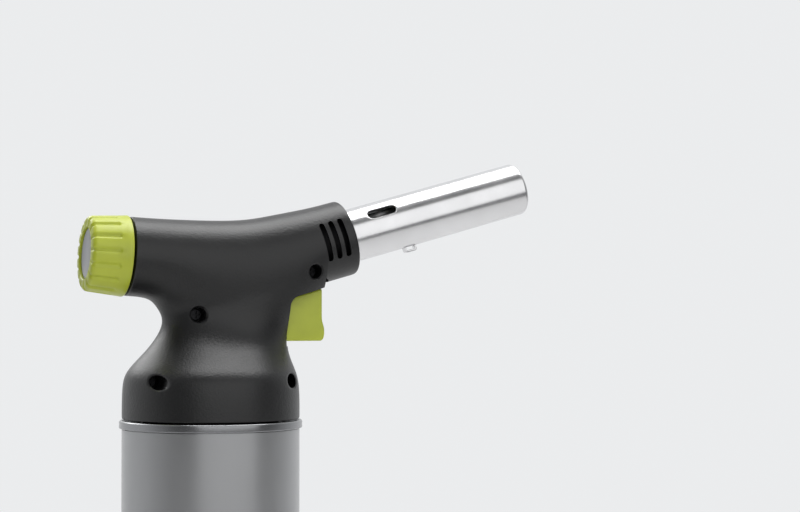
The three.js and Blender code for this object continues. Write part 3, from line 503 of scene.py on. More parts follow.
def turned(name, profile, count, matrix, ring=False):
    """Draws a circle out through the radius and height rows of a profile.

    A ring's profile comes back to its first row; any other piece is closed at both ends.
    """
    radius, height = profile[0]
    fill = "NOTHING" if ring else "NGON"
    bpy.ops.mesh.primitive_circle_add(
        vertices=count, radius=radius, location=(0, 0, height), fill_type=fill
    )
    obj = started(name)
    edit(obj, "EDGE" if ring else "FACE")
    select_all()
    rows = [*profile, profile[0]] if ring else profile
    for (r0, z0), (r1, z1) in zip(rows, rows[1:]):
        bpy.ops.mesh.extrude_region_move(TRANSFORM_OT_translate={"value": (0, 0, z1 - z0)})
        bpy.ops.transform.resize(value=(r1 / r0, r1 / r0, 1), center_override=(0, 0, z1))
    select_all()
    bpy.ops.mesh.remove_doubles(threshold=TINY)
    bpy.ops.mesh.normals_make_consistent()
    done()
    return settled(obj, matrix)


def rod(name, radius, start, end, matrix, count):
    return turned(name, [(radius, start), (radius, end)], count, matrix)


def across(x, z):
    """A frame whose Z runs across the torch, through a spot in X and height over the seam."""
    return along_axis(Vector((AXIS_X + x, 0, SEAM_Z + z)), Vector((0, 1, 0)), Vector((0, 0, 1)))


def block(name, low, high, matrix=None):
    """A block between two corners."""
    low, high = Vector(low), Vector(high)
    bpy.ops.mesh.primitive_cube_add(size=1, location=(low + high) / 2, scale=high - low)
    obj = started(name)
    return settled(obj, matrix) if matrix else obj


def arc(centre_r, centre_z, radius, start, end, steps):
    """Rows of a profile round a corner, from one angle to another in degrees."""
    rows = []
    for i in range(steps + 1):
        angle = math.radians(start + (end - start) * i / steps)
        rows.append((centre_r + radius * math.cos(angle), centre_z + radius * math.sin(angle)))
    return rows


def copied(name, node):
    """A merged copy of a plain solid, to be refined."""
    obj = placed(name, frame["nodes"][node].data.copy())
    edit(obj)
    select_all()
    bpy.ops.mesh.remove_doubles(threshold=TINY)
    bpy.ops.mesh.dissolve_limited(angle_limit=math.radians(1))
    done()
    return obj


def dressed(obj, material, body, slot, *nodes):
    """Gives a finished piece its material, its body and the solids that it stands for."""
    obj.data.materials.clear()
    obj.data.materials.append(material)
    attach(obj, body)
    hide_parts(*nodes)
    return obj


def coated(material, *nodes):
    """Gives plain solids a finished material."""
    for name in nodes:
        solid = frame["nodes"][name]
        solid.data.materials.clear()
        solid.data.materials.append(material)


# Housing


def on_barrel(along):
    """The point of the barrel's bent axis at a distance from the knee, behind it below zero."""
    return KNEE + (REAR * -along if along < 0 else FRONT * along)


def from_barrel(place):
    """Distance along the barrel's bent axis and height over it."""
    gap = place - KNEE
    if gap.x < 0:
        return -gap.dot(REAR), gap.dot(REAR_UP)
    return gap.dot(FRONT), gap.dot(FRONT_UP)


def housing_cage(name, s, inset, low, smoothness):
    """The moulded form: rings of eight along the barrel, rings of twelve down the grip."""

    # smoothing draws rings of eight and of twelve in to these shares
    eight = (2 + math.cos(math.tau / 8)) / 3
    twelve = (2 + math.cos(math.tau / 12)) / 3
    rear, front = s.rear_reach - inset, s.front_reach - inset
    rear_r, middle_r, front_r = (
        (radius - inset) / eight for radius in (s.rear_radius, s.middle_radius, s.front_radius)
    )

    # rings of the barrel: distance from the knee and radius
    rows = [
        (-rear, rear_r - s.rear_ease),
        (-rear, rear_r),
        (-rear + s.rear_ease, rear_r),
        (-37 * MM, rear_r),
        (-20 * MM, middle_r),
        (-3 * MM, middle_r),
        (14 * MM, middle_r),
        (29 * MM, front_r),
        (front - s.front_ease, front_r),
        (front, front_r),
        (front, front_r - s.front_ease),
    ]
    bpy.ops.mesh.primitive_circle_add(
        vertices=8,
        radius=rows[0][1],
        location=on_barrel(rows[0][0]),
        rotation=(0, REAR_PITCH - math.pi / 2, 0),
        fill_type="NGON",
    )
    obj = started(name)
    edit(obj, "FACE")
    select_all()
    for (a0, r0), (a1, r1) in zip(rows, rows[1:]):
        centre = on_barrel(a1)
        bpy.ops.mesh.extrude_region_move(TRANSFORM_OT_translate={"value": centre - on_barrel(a0)})
        if a0 < 0 < a1:
            bpy.ops.transform.rotate(
                value=REAR_PITCH + FRONT_PITCH, orient_axis="Y", center_override=centre
            )
        bpy.ops.transform.resize(value=(r1 / r0,) * 3, center_override=centre)

    # the top is lifted at the knee, and less in front of it
    for back, fore, part in ((-5, 5, 1), (5, 16, 0.45)):
        def top(place, back=back, fore=fore):
            along, up = from_barrel(place)
            return back * MM < along < fore * MM and up > 8 * MM

        pick(obj, "verts", top)
        bpy.ops.transform.translate(value=(0, 0, s.saddle_lift * part))

    # the middle rings' lower corners stand as wide as the neck, and the faces between open
    def lower_corner(place):
        along, up = from_barrel(place)
        return -25 * MM < along < 20 * MM and up < -5 * MM and abs(place.y) > 5 * MM

    def underside(place):
        along, up = from_barrel(place)
        return -37 * MM < along < 29 * MM and up < -9 * MM

    pick(obj, "verts", lower_corner)
    spread = (s.grip_half - inset) / (middle_r * math.sin(math.pi / 4))
    bpy.ops.transform.resize(value=(1, spread, 1), center_override=(0, 0, 0))
    pick(obj, "faces", underside)
    bpy.ops.mesh.delete(type="FACE")

    # rings of the grip: height over the seam, back, front and half width
    tilt = 0.1
    levels = [
        (43.5 * MM, -20.5 * MM, 48 * MM, s.grip_half),
        (36 * MM, -17.2 * MM, 30.5 * MM, s.grip_half),
        (26.5 * MM, -23.2 * MM, 28.3 * MM, 20 * MM),
        (18.5 * MM, -31.6 * MM, 31.6 * MM, 30.6 * MM),
        (13 * MM, -s.base_radius, s.base_radius, s.base_radius),
    ]
    rings = []
    for z, back, fore, half in levels:
        reach, side = ((fore - back) / 2 - inset) / twelve, (half - inset) / twelve
        rings.append(((back + fore) / 2, z, reach, side))
    middle, _, reach, side = rings[-1]
    if inset:
        rings.append((middle, low, reach, side))
    else:
        rings.append((middle, low + s.base_ease, reach, side))
        rings.append((middle, low, reach, side))
        rings.append((middle, low, reach - s.base_ease, side - s.base_ease))
    middle, z, reach, side = rings[0]
    z += tilt * middle
    rings[0] = middle, z, reach, side
    flare = Vector((AXIS_X + middle, 0, SEAM_Z + z))
    bpy.ops.mesh.primitive_circle_add(vertices=12, radius=reach, location=flare)
    bpy.ops.transform.resize(value=(1, side / reach, 1), center_override=flare)
    bpy.ops.mesh.select_mode(type="EDGE")
    bpy.ops.mesh.select_non_manifold(
        extend=False, use_multi_face=False, use_non_contiguous=False, use_verts=False
    )
    bpy.ops.mesh.bridge_edge_loops()
    pick(obj, "verts", lambda place: abs(place.z - flare.z) < TINY)
    bpy.ops.mesh.select_mode(type="EDGE")
    for (m0, z0, x0, y0), (m1, z1, x1, y1) in zip(rings, rings[1:]):
        bpy.ops.mesh.extrude_region_move(TRANSFORM_OT_translate={"value": (m1 - m0, 0, z1 - z0)})
        bpy.ops.transform.resize(
            value=(x1 / x0, y1 / y0, 1), center_override=(AXIS_X + m1, 0, SEAM_Z + z1)
        )
    bpy.ops.mesh.edge_face_add()
    pick(obj, "verts", lambda place: abs(place.z - flare.z) < TINY)
    bpy.ops.transform.rotate(value=math.atan(tilt), orient_axis="Y", center_override=flare)
    select_all()
    bpy.ops.mesh.normals_make_consistent()
    done()
    return applied(obj, "SUBSURF", levels=smoothness, render_levels=smoothness)


# Places in the housing, forward of the cartridge's axis and over its seam

SCREW_SPOTS = [
    (-8.1 * MM, 39.1 * MM),
    (-25.2 * MM, 14.7 * MM),
    (25.2 * MM, 14.7 * MM),
    (36.6 * MM, 55.2 * MM),
]
CHIN = (41.6 * MM, 49.27 * MM)
CHIN_TALL = 15 * MM
NOTCH_BACK, NOTCH_FRONT, NOTCH_LOW = 27 * MM, 80 * MM, 27.1 * MM
PATH_BACK, PATH_STEP, PATH_FRONT, PATH_LOW = 16 * MM, 40.4 * MM, 53 * MM, 28.8 * MM
PATH_HALF, PATH_LIFT, PATH_LAP = 6.5 * MM, 2 * MM, 0.1 * MM
HOLLOW_LOW = -9 * MM

# Holes along the barrel: radius, start and end, and the vents' angles on its side

TUBE_HOLE = (10.55 * MM, 25 * MM, 50 * MM)
KNOB_HOLE = (6.7 * MM, 40 * MM, 52 * MM)
VENT_LOW, VENT_HIGH = math.radians(-26), math.radians(35)

# How far tools reach beyond what they cut

ASIDE, THROUGH = 40 * MM, 60 * MM


def keel(x):
    """Height over the seam of the slope under the front of the barrel."""
    return CHIN[1] + (x - CHIN[0]) * math.tan(FRONT_PITCH)


def sloped_block(name, x0, x1, low, lift, half):
    """A block across the torch whose top follows the slope under the barrel."""
    top0, top1 = keel(x0) + lift, keel(x1) + lift
    obj = block(name, (AXIS_X + x0, -half, SEAM_Z + low), (AXIS_X + x1, half, SEAM_Z + top0))
    edit(obj)
    pick(obj, "verts", lambda p: p.x > AXIS_X + x1 - NEAR and p.z > SEAM_Z + top0 - NEAR)
    bpy.ops.transform.translate(value=(0, 0, top1 - top0))
    done()
    return obj


def slot_tool(name, wide, long, deep, matrix):
    """A tool for a slot with round ends: wide along Z, long along X and deep across Y."""
    obj = block(name, (-long / 2, -deep, -wide / 2), (long / 2, deep, wide / 2))
    edit(obj, "EDGE")
    pick(obj, "edges", lambda p: abs(p.y) < TINY)
    bpy.ops.mesh.bevel(offset=wide * 0.499, segments=6)
    done()
    return settled(obj, matrix)


class TORCH_OT_housing(Operator):
    """Make the two moulded halves of the torch head"""

    bl_idname = "torch.housing"
    bl_label = "Housing"

    def execute(self, context):
        s = context.scene.torch_housing
        skin = housing_cage("housing_skin", s, 0, s.base_low, s.smoothness)
        hollow = housing_cage("housing_hollow", s, s.wall, HOLLOW_LOW, s.smoothness - 1)
        bosses = joined([
            rod("boss", s.boss_radius, -THROUGH, THROUGH, across(x, z), 32) for x, z in SCREW_SPOTS
        ])
        cut(hollow, bosses)
        cut(skin, hollow)

        notch = sloped_block("notch", NOTCH_BACK, NOTCH_FRONT, NOTCH_LOW, 0, ASIDE)
        edit(notch, "EDGE")
        x, z = AXIS_X + NOTCH_BACK, SEAM_Z + keel(NOTCH_BACK)
        pick(notch, "edges", lambda p: abs(p.x - x) < NEAR and abs(p.z - z) < NEAR)
        bpy.ops.mesh.bevel(offset=s.notch_round, segments=8)
        done()
        x, z = AXIS_X + CHIN[0], SEAM_Z + CHIN[1]
        chin = block("chin", (x, -ASIDE, z - CHIN_TALL), (x + ASIDE, ASIDE, z + CHIN_TALL))
        cut(chin, rod("barrel", s.front_radius, 0, THROUGH, FRONT_FRAME, ROUND))
        path = [
            sloped_block("path_inside", PATH_BACK, PATH_STEP, PATH_LOW, PATH_LIFT, PATH_HALF),
            sloped_block("path_mouth", PATH_STEP - PATH_LAP, PATH_FRONT, PATH_LOW, 0, PATH_HALF),
        ]
        cut(skin, notch, chin, *path)
        cut(skin, rod("tube_hole", *TUBE_HOLE, FRONT_FRAME, 96))
        cut(skin, rod("knob_hole", *KNOB_HOLE, REAR_FRAME, 64))

        low = s.front_radius * math.sin(VENT_LOW)
        high = s.front_radius * math.sin(VENT_HIGH)
        vents = []
        for i in range(s.vent_count):
            along = s.front_reach - s.vent_front - s.vent_pitch * i
            middle = FRONT_FRAME @ Matrix.Translation(((low + high) / 2, 0, along))
            vents.append(slot_tool("vent", s.vent_wide, high - low, ASIDE, middle))
        ends = along - s.vent_wide, s.front_reach - s.vent_front + s.vent_wide
        room = rod("vent_room", s.front_radius - s.vent_skin, *ends, FRONT_FRAME, 96)
        band = block("vent_band", (low, -ASIDE, 0), (high, ASIDE, THROUGH), FRONT_FRAME)
        cut(room, band, operation="INTERSECT")
        cut(skin, room, joined(vents))

        other = placed("housing_other", skin.data.copy())
        gap = s.parting / 2
        cut(skin, block("near_side", (-1, -1, -1), (1, -gap, 1)), operation="INTERSECT")
        cut(other, block("far_side", (-1, gap, -1), (1, 1, 1)), operation="INTERSECT")
        context.view_layer.update()
        cut(skin, joined([self.hole_tool(skin, s, x, z) for x, z in SCREW_SPOTS]))

        black = moulded("black_moulding", s.colour, s.roughness, 1650, 0.18 * MM, 0.5)
        skin.name, other.name = "near_half", "far_half"
        dressed(smooth(cleaned(skin)), black, "head", "housing", "housing_near")
        dressed(smooth(cleaned(other)), black, "head", "housing", "housing_far")
        return {"FINISHED"}

    @staticmethod
    def hole_tool(skin, s, x, z):
        """A tool for a screw hole whose mouth opens along the skin around it."""
        outside, mouth, throat = -THROUGH, -50 * MM, -40 * MM
        tool = turned("hole", [
            (s.hole_radius + s.hole_ease, outside),
            (s.hole_radius + s.hole_ease, mouth),
            (s.hole_radius, throat),
            (s.hole_radius, -s.screw_seat),
        ], 48, across(x, z))
        depths = {mouth: -0.05 * MM, throat: s.hole_ease}
        for vert in tool.data.vertices:
            for row, depth in depths.items():
                if abs(vert.co.y - row) < TINY:
                    hit, place, _, _ = skin.ray_cast((vert.co.x, outside, vert.co.z), (0, 1, 0))
                    if not hit:
                        raise RuntimeError("a screw hole misses the housing")
                    vert.co.y = place.y + depth
                    break
        return tool


# Screws


# Profile of a screw: radius and height over its seat in millimetres

SCREW_ROWS = [
    (0.5, -1.8),
    (1.85, -1.75),
    (2.3, -1.4),
    (2.4, -0.9),
    (2.4, 0),
    (1.25, 0),
    (1.25, 15),
]
RECESS_LONG, RECESS_WIDE, RECESS_FLOOR = 1.5 * MM, 0.35 * MM, 0.9 * MM


class TORCH_OT_screws(Operator):
    """Make the cross-head screws that hold the halves together"""

    bl_idname = "torch.screws"
    bl_label = "Housing screws"

    def execute(self, context):
        seat = -context.scene.torch_housing.screw_seat - 0.15 * MM
        steel = plain_metal("blackened_steel", (0.03, 0.03, 0.032), 0.5)
        for i, (x, z) in enumerate(SCREW_SPOTS, 1):
            matrix = across(x, z)
            profile = [(radius * MM, seat + height * MM) for radius, height in SCREW_ROWS]
            head = turned("screw_%d" % i, profile, 32, matrix)
            for up, side in ((RECESS_LONG, RECESS_WIDE), (RECESS_WIDE, RECESS_LONG)):
                low, high = (-up, -side, seat - 2.5 * MM), (up, side, seat - RECESS_FLOOR)
                cut(head, block("recess", low, high, matrix))
            dressed(smooth(head), steel, "head", "spring_steel", "housing_screw_%d" % i)
        return {"FINISHED"}


# Knob


# Columns of points for each groove, and each column's share of its depth, from the middle

COLUMNS = 16
GROOVE = (1.0, 0.9, 0.48, 0.08)
RUN_IN, RIM_FADE = 0.35, 0.25


class TORCH_OT_knob(Operator):
    """Make the fluted gas knob and the disc on its end"""

    bl_idname = "torch.knob"
    bl_label = "Gas knob"

    def execute(self, context):
        k = context.scene.torch_knob
        start = context.scene.torch_housing.rear_reach + k.gap
        end = start + k.long
        straight = k.long - k.rounding

        def taper(z):
            return k.front_radius + (k.rear_radius - k.front_radius) * z / straight

        floor = end - k.disc_thick - k.clearance
        well = k.disc_radius + k.clearance
        side = [k.flute_from * 0.5, k.flute_from]
        side += [k.flute_from + run * MM for run in (0.35, 0.8, 1.4)]
        side += [straight * 0.6, straight * 0.8]
        rounds = arc(k.rear_radius - k.rounding, end - k.rounding, k.rounding, 0, 90, 8)
        profile = [
            (0.5 * MM, start - 5 * MM),
            (k.hub_radius, start - 5 * MM),
            (k.hub_radius, start),
            (k.front_radius - 0.5 * MM, start),
            (k.front_radius - 0.15 * MM, start + 0.15 * MM),
            (k.front_radius, start + 0.5 * MM),
            *[(taper(z), start + z) for z in side],
            *rounds,
            (well + 0.25 * MM, end),
            (well, end - 0.25 * MM),
            (well, floor),
            (0.5 * MM, floor),
        ]
        knob = turned("knob", profile, k.flutes * COLUMNS, Matrix.Identity(4))

        # grooves: the columns at each flute are drawn in, on the rim along its own slant
        grooves = {start + z: (1.0, 0.0) for z in side[2:]}
        grooves[start + side[2]] = (RUN_IN, 0.0)
        for i, (_, z) in enumerate(rounds):
            way = i / (len(rounds) - 1)
            grooves[z] = (1.0 - RIM_FADE * way, way * math.pi / 2)
        edit(knob)
        for height, (amount, slant) in grooves.items():
            for column, part in enumerate(GROOVE):
                def groove(place, height=height, column=column):
                    radius = math.hypot(place.x, place.y)
                    if abs(place.z - height) > TINY or radius < well + 0.3 * MM:
                        return False
                    turn = math.degrees(math.atan2(place.y, place.x)) * k.flutes / 360
                    off = abs(turn - round(turn)) * COLUMNS
                    return abs(off - column) < 0.25

                pick(knob, "verts", groove)
                mesh = bmesh.from_edit_mesh(knob.data)
                chosen = next(vert.co for vert in mesh.verts if vert.select)
                radius = math.hypot(chosen.x, chosen.y)
                deep = k.flute_deep * amount * part
                draw = 1 - deep * math.cos(slant) / radius
                bpy.ops.transform.resize(value=(draw, draw, 1), center_override=(0, 0, height))
                bpy.ops.transform.translate(value=(0, 0, -deep * math.sin(slant)))
        done()
        settled(knob, REAR_FRAME @ Matrix.Rotation(k.flute_turn, 4, "Z"))
        green = moulded("green_plastic", k.colour, 0.36, 1500, 0.04 * MM, 0.6)
        dressed(smooth(knob, 40), green, "knob", "accent", "gas_knob")

        face = end - k.recess
        disc = turned("disc", [
            (0.4 * MM, floor + 0.15 * MM),
            (k.disc_radius, floor + 0.15 * MM),
            *arc(k.disc_radius - 0.25 * MM, face - 0.25 * MM, 0.25 * MM, 0, 90, 4),
            (k.disc_radius - 1.1 * MM, face),
            (k.disc_radius - 1.3 * MM, face - 0.12 * MM),
            (0.4 * MM, face - 0.12 * MM),
        ], ROUND, REAR_FRAME)
        silver = drawn_metal("brushed_silver", k.disc_colour, 0.32, REAR_FRAME, along=False)
        dressed(smooth(disc), silver, "knob", "disc", "knob_disc")
        return {"FINISHED"}


# Trigger


class TORCH_OT_trigger(Operator):
    """Make the trigger with its rounded edges"""

    bl_idname = "torch.trigger"
    bl_label = "Trigger"

    def execute(self, context):
        trigger = eased(copied("trigger_button", "trigger"), 0.8 * MM, 4)
        green = bpy.data.materials["green_plastic"]
        dressed(smooth(trigger, 30), green, "trigger", "accent", "trigger")
        return {"FINISHED"}


# Burner


class TORCH_OT_burner(Operator):
    """Make the polished burner tube with its air slots and clip"""

    bl_idname = "torch.burner"
    bl_label = "Burner tube"

    def execute(self, context):
        b = context.scene.torch_burner
        inner = b.radius - b.skin
        curl = b.reach - b.lip
        beside = b.slot_long / 2 + 0.9 * MM
        hidden = context.scene.torch_housing.front_reach - 0.8 * MM
        tube = turned("tube", [
            (inner, b.start),
            (b.radius - 0.1 * MM, b.start),
            (b.radius, b.start + 0.1 * MM),
            (b.radius, hidden),
            (b.radius, b.slot_at - beside),
            (b.radius, b.slot_at + beside),
            *arc(b.radius - b.lip, curl, b.lip, 0, 80, 10),
            *arc(b.radius - b.lip, curl, b.lip - b.skin, 80, 0, 6),
        ], ROUND, FRONT_FRAME, ring=True)
        upright = Matrix(((0, 1, 0, 0), (0, 0, 1, 0), (1, 0, 0, 0), (0, 0, 0, 1)))
        middle = Matrix.Translation((b.radius, 0, b.slot_at)) @ upright
        tools = []
        for side in (0, math.pi):
            place = FRONT_FRAME @ Matrix.Rotation(b.slot_turn + side, 4, "Z") @ middle
            tools.append(slot_tool("air_slot", b.slot_wide, b.slot_long, 4 * MM, place))
        tools.append(block(
            "clip_slot",
            (-b.radius - 2 * MM, -b.clip_wide / 2, b.clip_at - b.clip_long / 2),
            (2 * MM - inner, b.clip_wide / 2, b.clip_at + b.clip_long / 2),
            FRONT_FRAME,
        ))
        cut(tube, joined(tools))
        self.eased_slots(tube, b)
        polished = drawn_metal("polished_steel", b.colour, 0.16, FRONT_FRAME)
        dressed(smooth(tube, 30), polished, "head", "burner_steel", "burner_tube")
        # painted shade: the tube's faces inside the housing get a near-black steel that stands for
        # the shade inside the housing behind the vents
        tube.data.materials.append(plain_metal("heat_blackened_steel", (0.02, 0.02, 0.021), 0.6))
        back = FRONT_FRAME.inverted()
        for face in tube.data.polygons:
            face.material_index = int((back @ face.center).z < hidden)
        clip = eased(copied("tube_clip", "burner_clip"), 0.16 * MM, 2)
        steel = plain_metal("clip_steel", b.colour, 0.25)
        dressed(smooth(clip), steel, "head", "burner_steel", "burner_clip")
        return {"FINISHED"}

    @staticmethod
    def eased_slots(tube, b):
        """Rounds the outer edges of the air slots, as a punch leaves them."""
        back = FRONT_FRAME.inverted()
        edit(tube, "EDGE")
        bpy.ops.mesh.select_all(action="DESELECT")
        mesh = bmesh.from_edit_mesh(tube.data)
        for edge in mesh.edges:
            ends = [back @ vert.co for vert in edge.verts]
            near = all(abs(end.z - b.slot_at) < b.slot_long / 2 + 0.2 * MM for end in ends)
            outer = all(math.hypot(end.x, end.y) > b.radius - 0.1 * MM for end in ends)
            if near and outer and edge.calc_face_angle(0) > SHARP:
                edge.select_set(True)
        bmesh.update_edit_mesh(tube.data)
        bpy.ops.mesh.bevel(offset=0.3 * MM, segments=3)
        done()


# Cartridge


class TORCH_OT_cartridge(Operator):
    """Make the lacquered gas cartridge with its rolled seams"""

    bl_idname = "torch.cartridge"
    bl_label = "Gas cartridge"

    def execute(self, context):
        c = context.scene.torch_cartridge
        tall = SEAM_Z - FOOT_Z
        inner = c.radius - c.skin
        chuck = inner - 0.3 * MM
        rim = c.seam_radius - c.seam_thick
        low, high = c.seam_tall + 0.3 * MM, tall - c.seam_tall - 0.3 * MM
        mouth, neck = 12.4 * MM, 14.2 * MM
        sunk, raised, lip = tall - 4.1 * MM, tall + 4.6 * MM, tall + 6.6 * MM
        wall = turned("can_body", [
            (inner, low),
            (c.radius, low),
            (c.radius, low + 2 * MM),
            (c.radius, tall * 0.35),
            (c.radius, tall * 0.7),
            (c.radius, high - 2 * MM),
            (c.radius, high),
            (inner, high),
        ], ROUND, CAN_FRAME, ring=True)
        bend = c.seam_thick / 2 - 0.05 * MM
        top = turned("can_shoulder", [
            (mouth, raised),
            (neck, raised),
            (chuck - 2.1 * MM, sunk),
            (chuck, sunk),
            (chuck, tall - c.seam_tall),
            *arc(c.seam_radius - 0.4 * MM, tall - c.seam_tall + 0.4 * MM, 0.4 * MM, -90, 0, 4),
            (c.seam_radius - 0.06 * MM, tall - c.seam_tall / 2),
            *arc(c.seam_radius - bend, tall - bend, bend, 0, 90, 6),
            *arc(rim + bend, tall - bend, bend, 90, 180, 6),
            (chuck - c.skin, sunk + c.skin),
            (chuck - 1.6 * MM, sunk + c.skin),
            (neck + c.skin, raised + c.skin),
            (neck, lip),
            (mouth, lip),
        ], ROUND, CAN_FRAME, ring=True)
        dome_radius, dome_low, dome_rise, steps = chuck - 1.4 * MM, 3.6 * MM, 7.4 * MM, 10
        dome = [
            (dome_radius * i / steps, dome_low + dome_rise * (1 - (i / steps) ** 2))
            for i in range(1, steps + 1)
        ]
        bottom = turned("can_foot", [
            *dome,
            (chuck - c.skin, 3.2 * MM),
            *arc(rim + bend, bend, bend, 180, 270, 6),
            *arc(c.seam_radius - bend, bend, bend, 270, 360, 6),
            *arc(c.seam_radius - 0.4 * MM, c.seam_tall - 0.4 * MM, 0.4 * MM, 0, 90, 4),
            (chuck, c.seam_tall),
            (chuck, dome_low),
            *[(r, z + c.skin) for r, z in reversed(dome)],
        ], ROUND, CAN_FRAME)
        lacquer = self.lacquer(c)
        tin = drawn_metal("tinplate", c.tin, 0.2, CAN_FRAME, along=False)
        dressed(smooth(wall), lacquer, "cartridge", "can_paint", "can_wall")
        dressed(smooth(top), tin, "cartridge", "seam", "can_top")
        dressed(smooth(bottom), tin, "cartridge", "seam", "can_bottom")
        return {"FINISHED"}

    @staticmethod
    def lacquer(c):
        """Satin grey lacquer over sheet metal, with the weld line down the far side."""
        coat = Coat("grey_lacquer", Metallic=0.6, Coat_Roughness=0.18)
        x, y, _ = coat.parts(coat.turned_place(CAN_FRAME))
        cloud = coat.ramp(coat.noise(coat.place(), 28, 4.0, 0.55), 0.3, 0.75)
        fine = coat.noise(coat.place(), 900, 2.0, 0.5)
        turn = coat.node("Math", {0: x, 1: y}, operation="ARCTAN2")
        size = coat.node("Math", {0: turn}, operation="ABSOLUTE")
        tone = size.over(0.02) * (0.78 + 0.22 * cloud)
        coat.set(
            Base_Color=coat.blend(tone, shaded(c.colour, 0.82), shaded(c.colour, 1.05)),
            Roughness=0.28 + 0.06 * cloud + 0.04 * fine,
            Coat_Weight=0.3 + 0.1 * cloud,
            Normal=coat.bump(cloud, 0.02 * MM, 0.3),
        )
        return coat.material


# Inner pieces


class TORCH_OT_inside(Operator):
    """Give the inner pieces their metals, plastics, rubber and ceramic"""

    bl_idname = "torch.inside"
    bl_label = "Inner pieces"

    def execute(self, context):
        brass = plain_metal("turned_brass", (0.6, 0.44, 0.18), 0.3)
        coated(brass, "valve_body", "gland_nut", "inlet_stem", "burner_plug")
        coated(brass, "gas_pipe", "jet_holder", "jet")
        wire = plain_metal("spring_wire", (0.55, 0.55, 0.57), 0.32)
        coated(wire, "can_valve_spring", "electrode", "valve_spindle", "bayonet_ring")
        coated(wire, "bayonet_screw_1", "bayonet_screw_2", "bayonet_screw_3")
        self.squeezed_coil(wire)
        coated(plain_metal("burnt_steel", (0.34, 0.31, 0.29), 0.42), "flame_holder")
        cup = plain_metal("cup_tin", (0.72, 0.72, 0.72), 0.28)
        coated(cup, "can_valve_cup", "can_collar")
        rubber = moulded("black_rubber", (0.03, 0.03, 0.03), 0.72, 900, 0.05 * MM)
        coated(rubber, "can_valve_gasket", "inlet_seal", "spindle_o_ring", "ignition_lead")
        nylon = moulded("natural_nylon", (0.74, 0.72, 0.66), 0.42, 700, 0.02 * MM)
        coated(nylon, "can_valve_stem", "can_valve_housing", "vapour_tube", "piezo_plunger")
        ceramic = moulded("white_ceramic", (0.82, 0.8, 0.75), 0.25, 600, 0.01 * MM)
        coated(ceramic, "electrode_insulator")
        coated(moulded("piezo_case", (0.04, 0.04, 0.045), 0.4, 900, 0.03 * MM), "piezo_body")
        return {"FINISHED"}

    @staticmethod
    def squeezed_coil(wire):
        """The trigger's spring as a smooth copy of its plain solid, with a mesh of its own."""
        low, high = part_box("trigger_spring")
        joints = frame["record"]["behaviour"]["joints"]
        travel = next(joint["range_m"][1] for joint in joints if joint["name"] == "trigger_pull")
        coil = smooth(copied("trigger_coil", "trigger_spring"))
        dressed(coil, wire, "trigger", "spring_steel", "trigger_spring")
        1 - travel / (high.x - low.x)
        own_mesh(coil)


# Stage


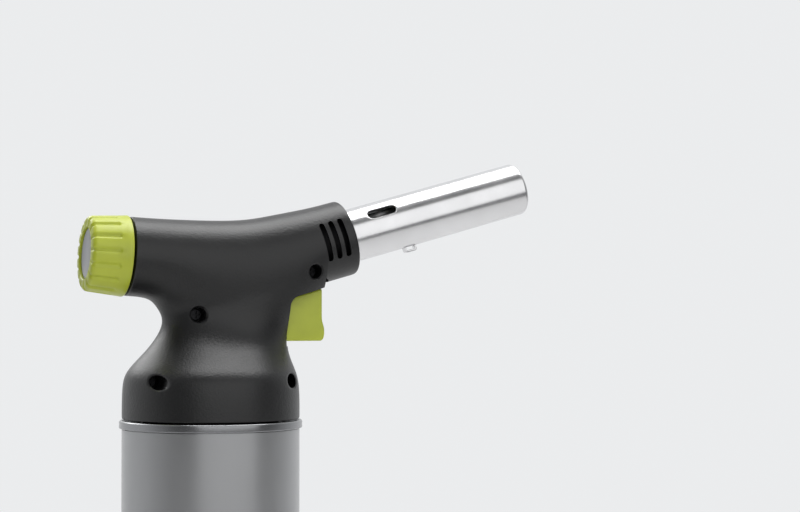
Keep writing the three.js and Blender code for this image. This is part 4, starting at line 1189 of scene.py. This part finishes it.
class TORCH_OT_stage(Operator):
    """Make the pale floor, the studio lights and the camera"""

    bl_idname = "torch.stage"
    bl_label = "Studio stage"

    def execute(self, context):
        s = context.scene.torch_stage
        scene = context.scene
        scene.view_settings.view_transform = "Standard"
        bpy.ops.mesh.primitive_circle_add(
            vertices=96, radius=s.floor_radius, location=(0, 0, -s.floor_drop), fill_type="NGON"
        )
        floor = started("floor")
        paint = Coat("pale_floor", Roughness=0.6)
        speck = paint.noise(paint.place(), 6, 2.0, 0.5)
        low, high = shaded(s.floor_colour, 0.985), shaded(s.floor_colour, 1.01)
        paint.set(Base_Color=paint.blend(speck, low, high))
        floor.data.materials.append(paint.material)
        self.surround(scene, s)
        self.lamp("overhead_softbox", s.key, (0.22, 0.12, 1.12), (0.22, 0.12, 0), 1.0, 0.7)
        self.lamp("front_softbox", s.fill, (0.1, -1.25, 0.62), (0, 0, 0.2), 2.2, 1.4)
        self.lamp("rim_softbox", s.rim, (-0.42, 1.0, 0.88), (0, 0, 0.25), 0.8, 0.55)
        self.camera(scene)
        return {"FINISHED"}

    @staticmethod
    def surround(scene, s):
        """A pale backdrop for the camera, and a dimmer surround for everything else."""
        world = bpy.data.worlds.new("studio")
        scene.world = world
        world.use_nodes = True
        sky = Graph(world.node_tree)
        seen = sky.node("LightPath", output="Is Camera Ray")
        shine = sky.node("LightPath", output="Is Glossy Ray")
        through = sky.node("LightPath", output="Is Transmission Ray")
        place = sky.node("TexCoord", output="Generated")
        split = sky.node("SeparateXYZ", {"Vector": place}, "Y")
        ahead = sky.node(
            "MapRange",
            {"Value": split, "From Min": -0.5, "From Max": 0.4, "To Min": s.behind, "To Max": 1.0},
        )
        strength = s.ambient + (1 - s.ambient) * (seen + (shine + through) * ahead)
        back = sky.tree.nodes["Background"]
        back.inputs["Color"].default_value = (*s.backdrop, 1)
        sky.plug(back.inputs["Strength"], strength)

    @staticmethod
    def lamp(name, power, place, target, wide, tall):
        light = bpy.data.lights.new(name, "AREA")
        light.shape = "RECTANGLE"
        light.size, light.size_y, light.energy = wide, tall, power
        obj = placed(name, light)
        obj.visible_camera = False
        obj.location = place
        obj.rotation_euler = (Vector(target) - Vector(place)).to_track_quat("-Z", "Y").to_euler()

    @staticmethod
    def camera(scene):
        """An 85 mm view from the near side, a little behind the knob and tipped slightly up."""
        data = bpy.data.cameras.new("camera")
        data.lens, data.sensor_width = 85, 36
        obj = placed("camera", data)
        turn, rise = math.radians(22), math.radians(1.547)
        level = math.cos(rise)
        ahead = Vector((math.sin(turn) * level, math.cos(turn) * level, math.sin(rise)))
        obj.location = (AXIS_X - 199.1 * MM, -681.0 * MM, 201.9 * MM)
        obj.rotation_euler = ahead.to_track_quat("-Z", "Y").to_euler()
        data.clip_start, data.clip_end = 0.01, 20
        scene.camera = obj


class TORCH_PT_pieces(Panel):
    """Pieces of the blowtorch"""

    bl_label = "Kitchen Blowtorch"
    bl_idname = "TORCH_PT_pieces"
    bl_space_type = "VIEW_3D"
    bl_region_type = "UI"
    bl_category = "Blowtorch"

    def draw(self, context):
        for operator in OPERATORS:
            self.layout.operator(operator.bl_idname)
        for name in SETTINGS:
            box = self.layout.box()
            group = getattr(context.scene, name)
            for key in group.bl_rna.properties.keys():
                if key not in {"rna_type", "name"}:
                    box.prop(group, key)


SETTINGS = {
    "torch_housing": HousingSettings,
    "torch_knob": KnobSettings,
    "torch_burner": BurnerSettings,
    "torch_cartridge": CartridgeSettings,
    "torch_stage": StageSettings,
}
OPERATORS = [
    TORCH_OT_stage,
    TORCH_OT_housing,
    TORCH_OT_screws,
    TORCH_OT_knob,
    TORCH_OT_trigger,
    TORCH_OT_burner,
    TORCH_OT_cartridge,
    TORCH_OT_inside,
]


def register():
    for name, group in SETTINGS.items():
        bpy.utils.register_class(group)
        setattr(bpy.types.Scene, name, PointerProperty(type=group))
    for operator in OPERATORS:
        bpy.utils.register_class(operator)
    bpy.utils.register_class(TORCH_PT_pieces)


def unregister():
    bpy.utils.unregister_class(TORCH_PT_pieces)
    for operator in reversed(OPERATORS):
        bpy.utils.unregister_class(operator)
    for name, group in SETTINGS.items():
        delattr(bpy.types.Scene, name)
        bpy.utils.unregister_class(group)


def main():
    register()
    bpy.ops.torch.stage()
    bpy.ops.torch.housing()
    bpy.ops.torch.screws()
    bpy.ops.torch.knob()
    bpy.ops.torch.trigger()
    bpy.ops.torch.burner()
    bpy.ops.torch.cartridge()
    bpy.ops.torch.inside()


if __name__ == "__main__":
    main()
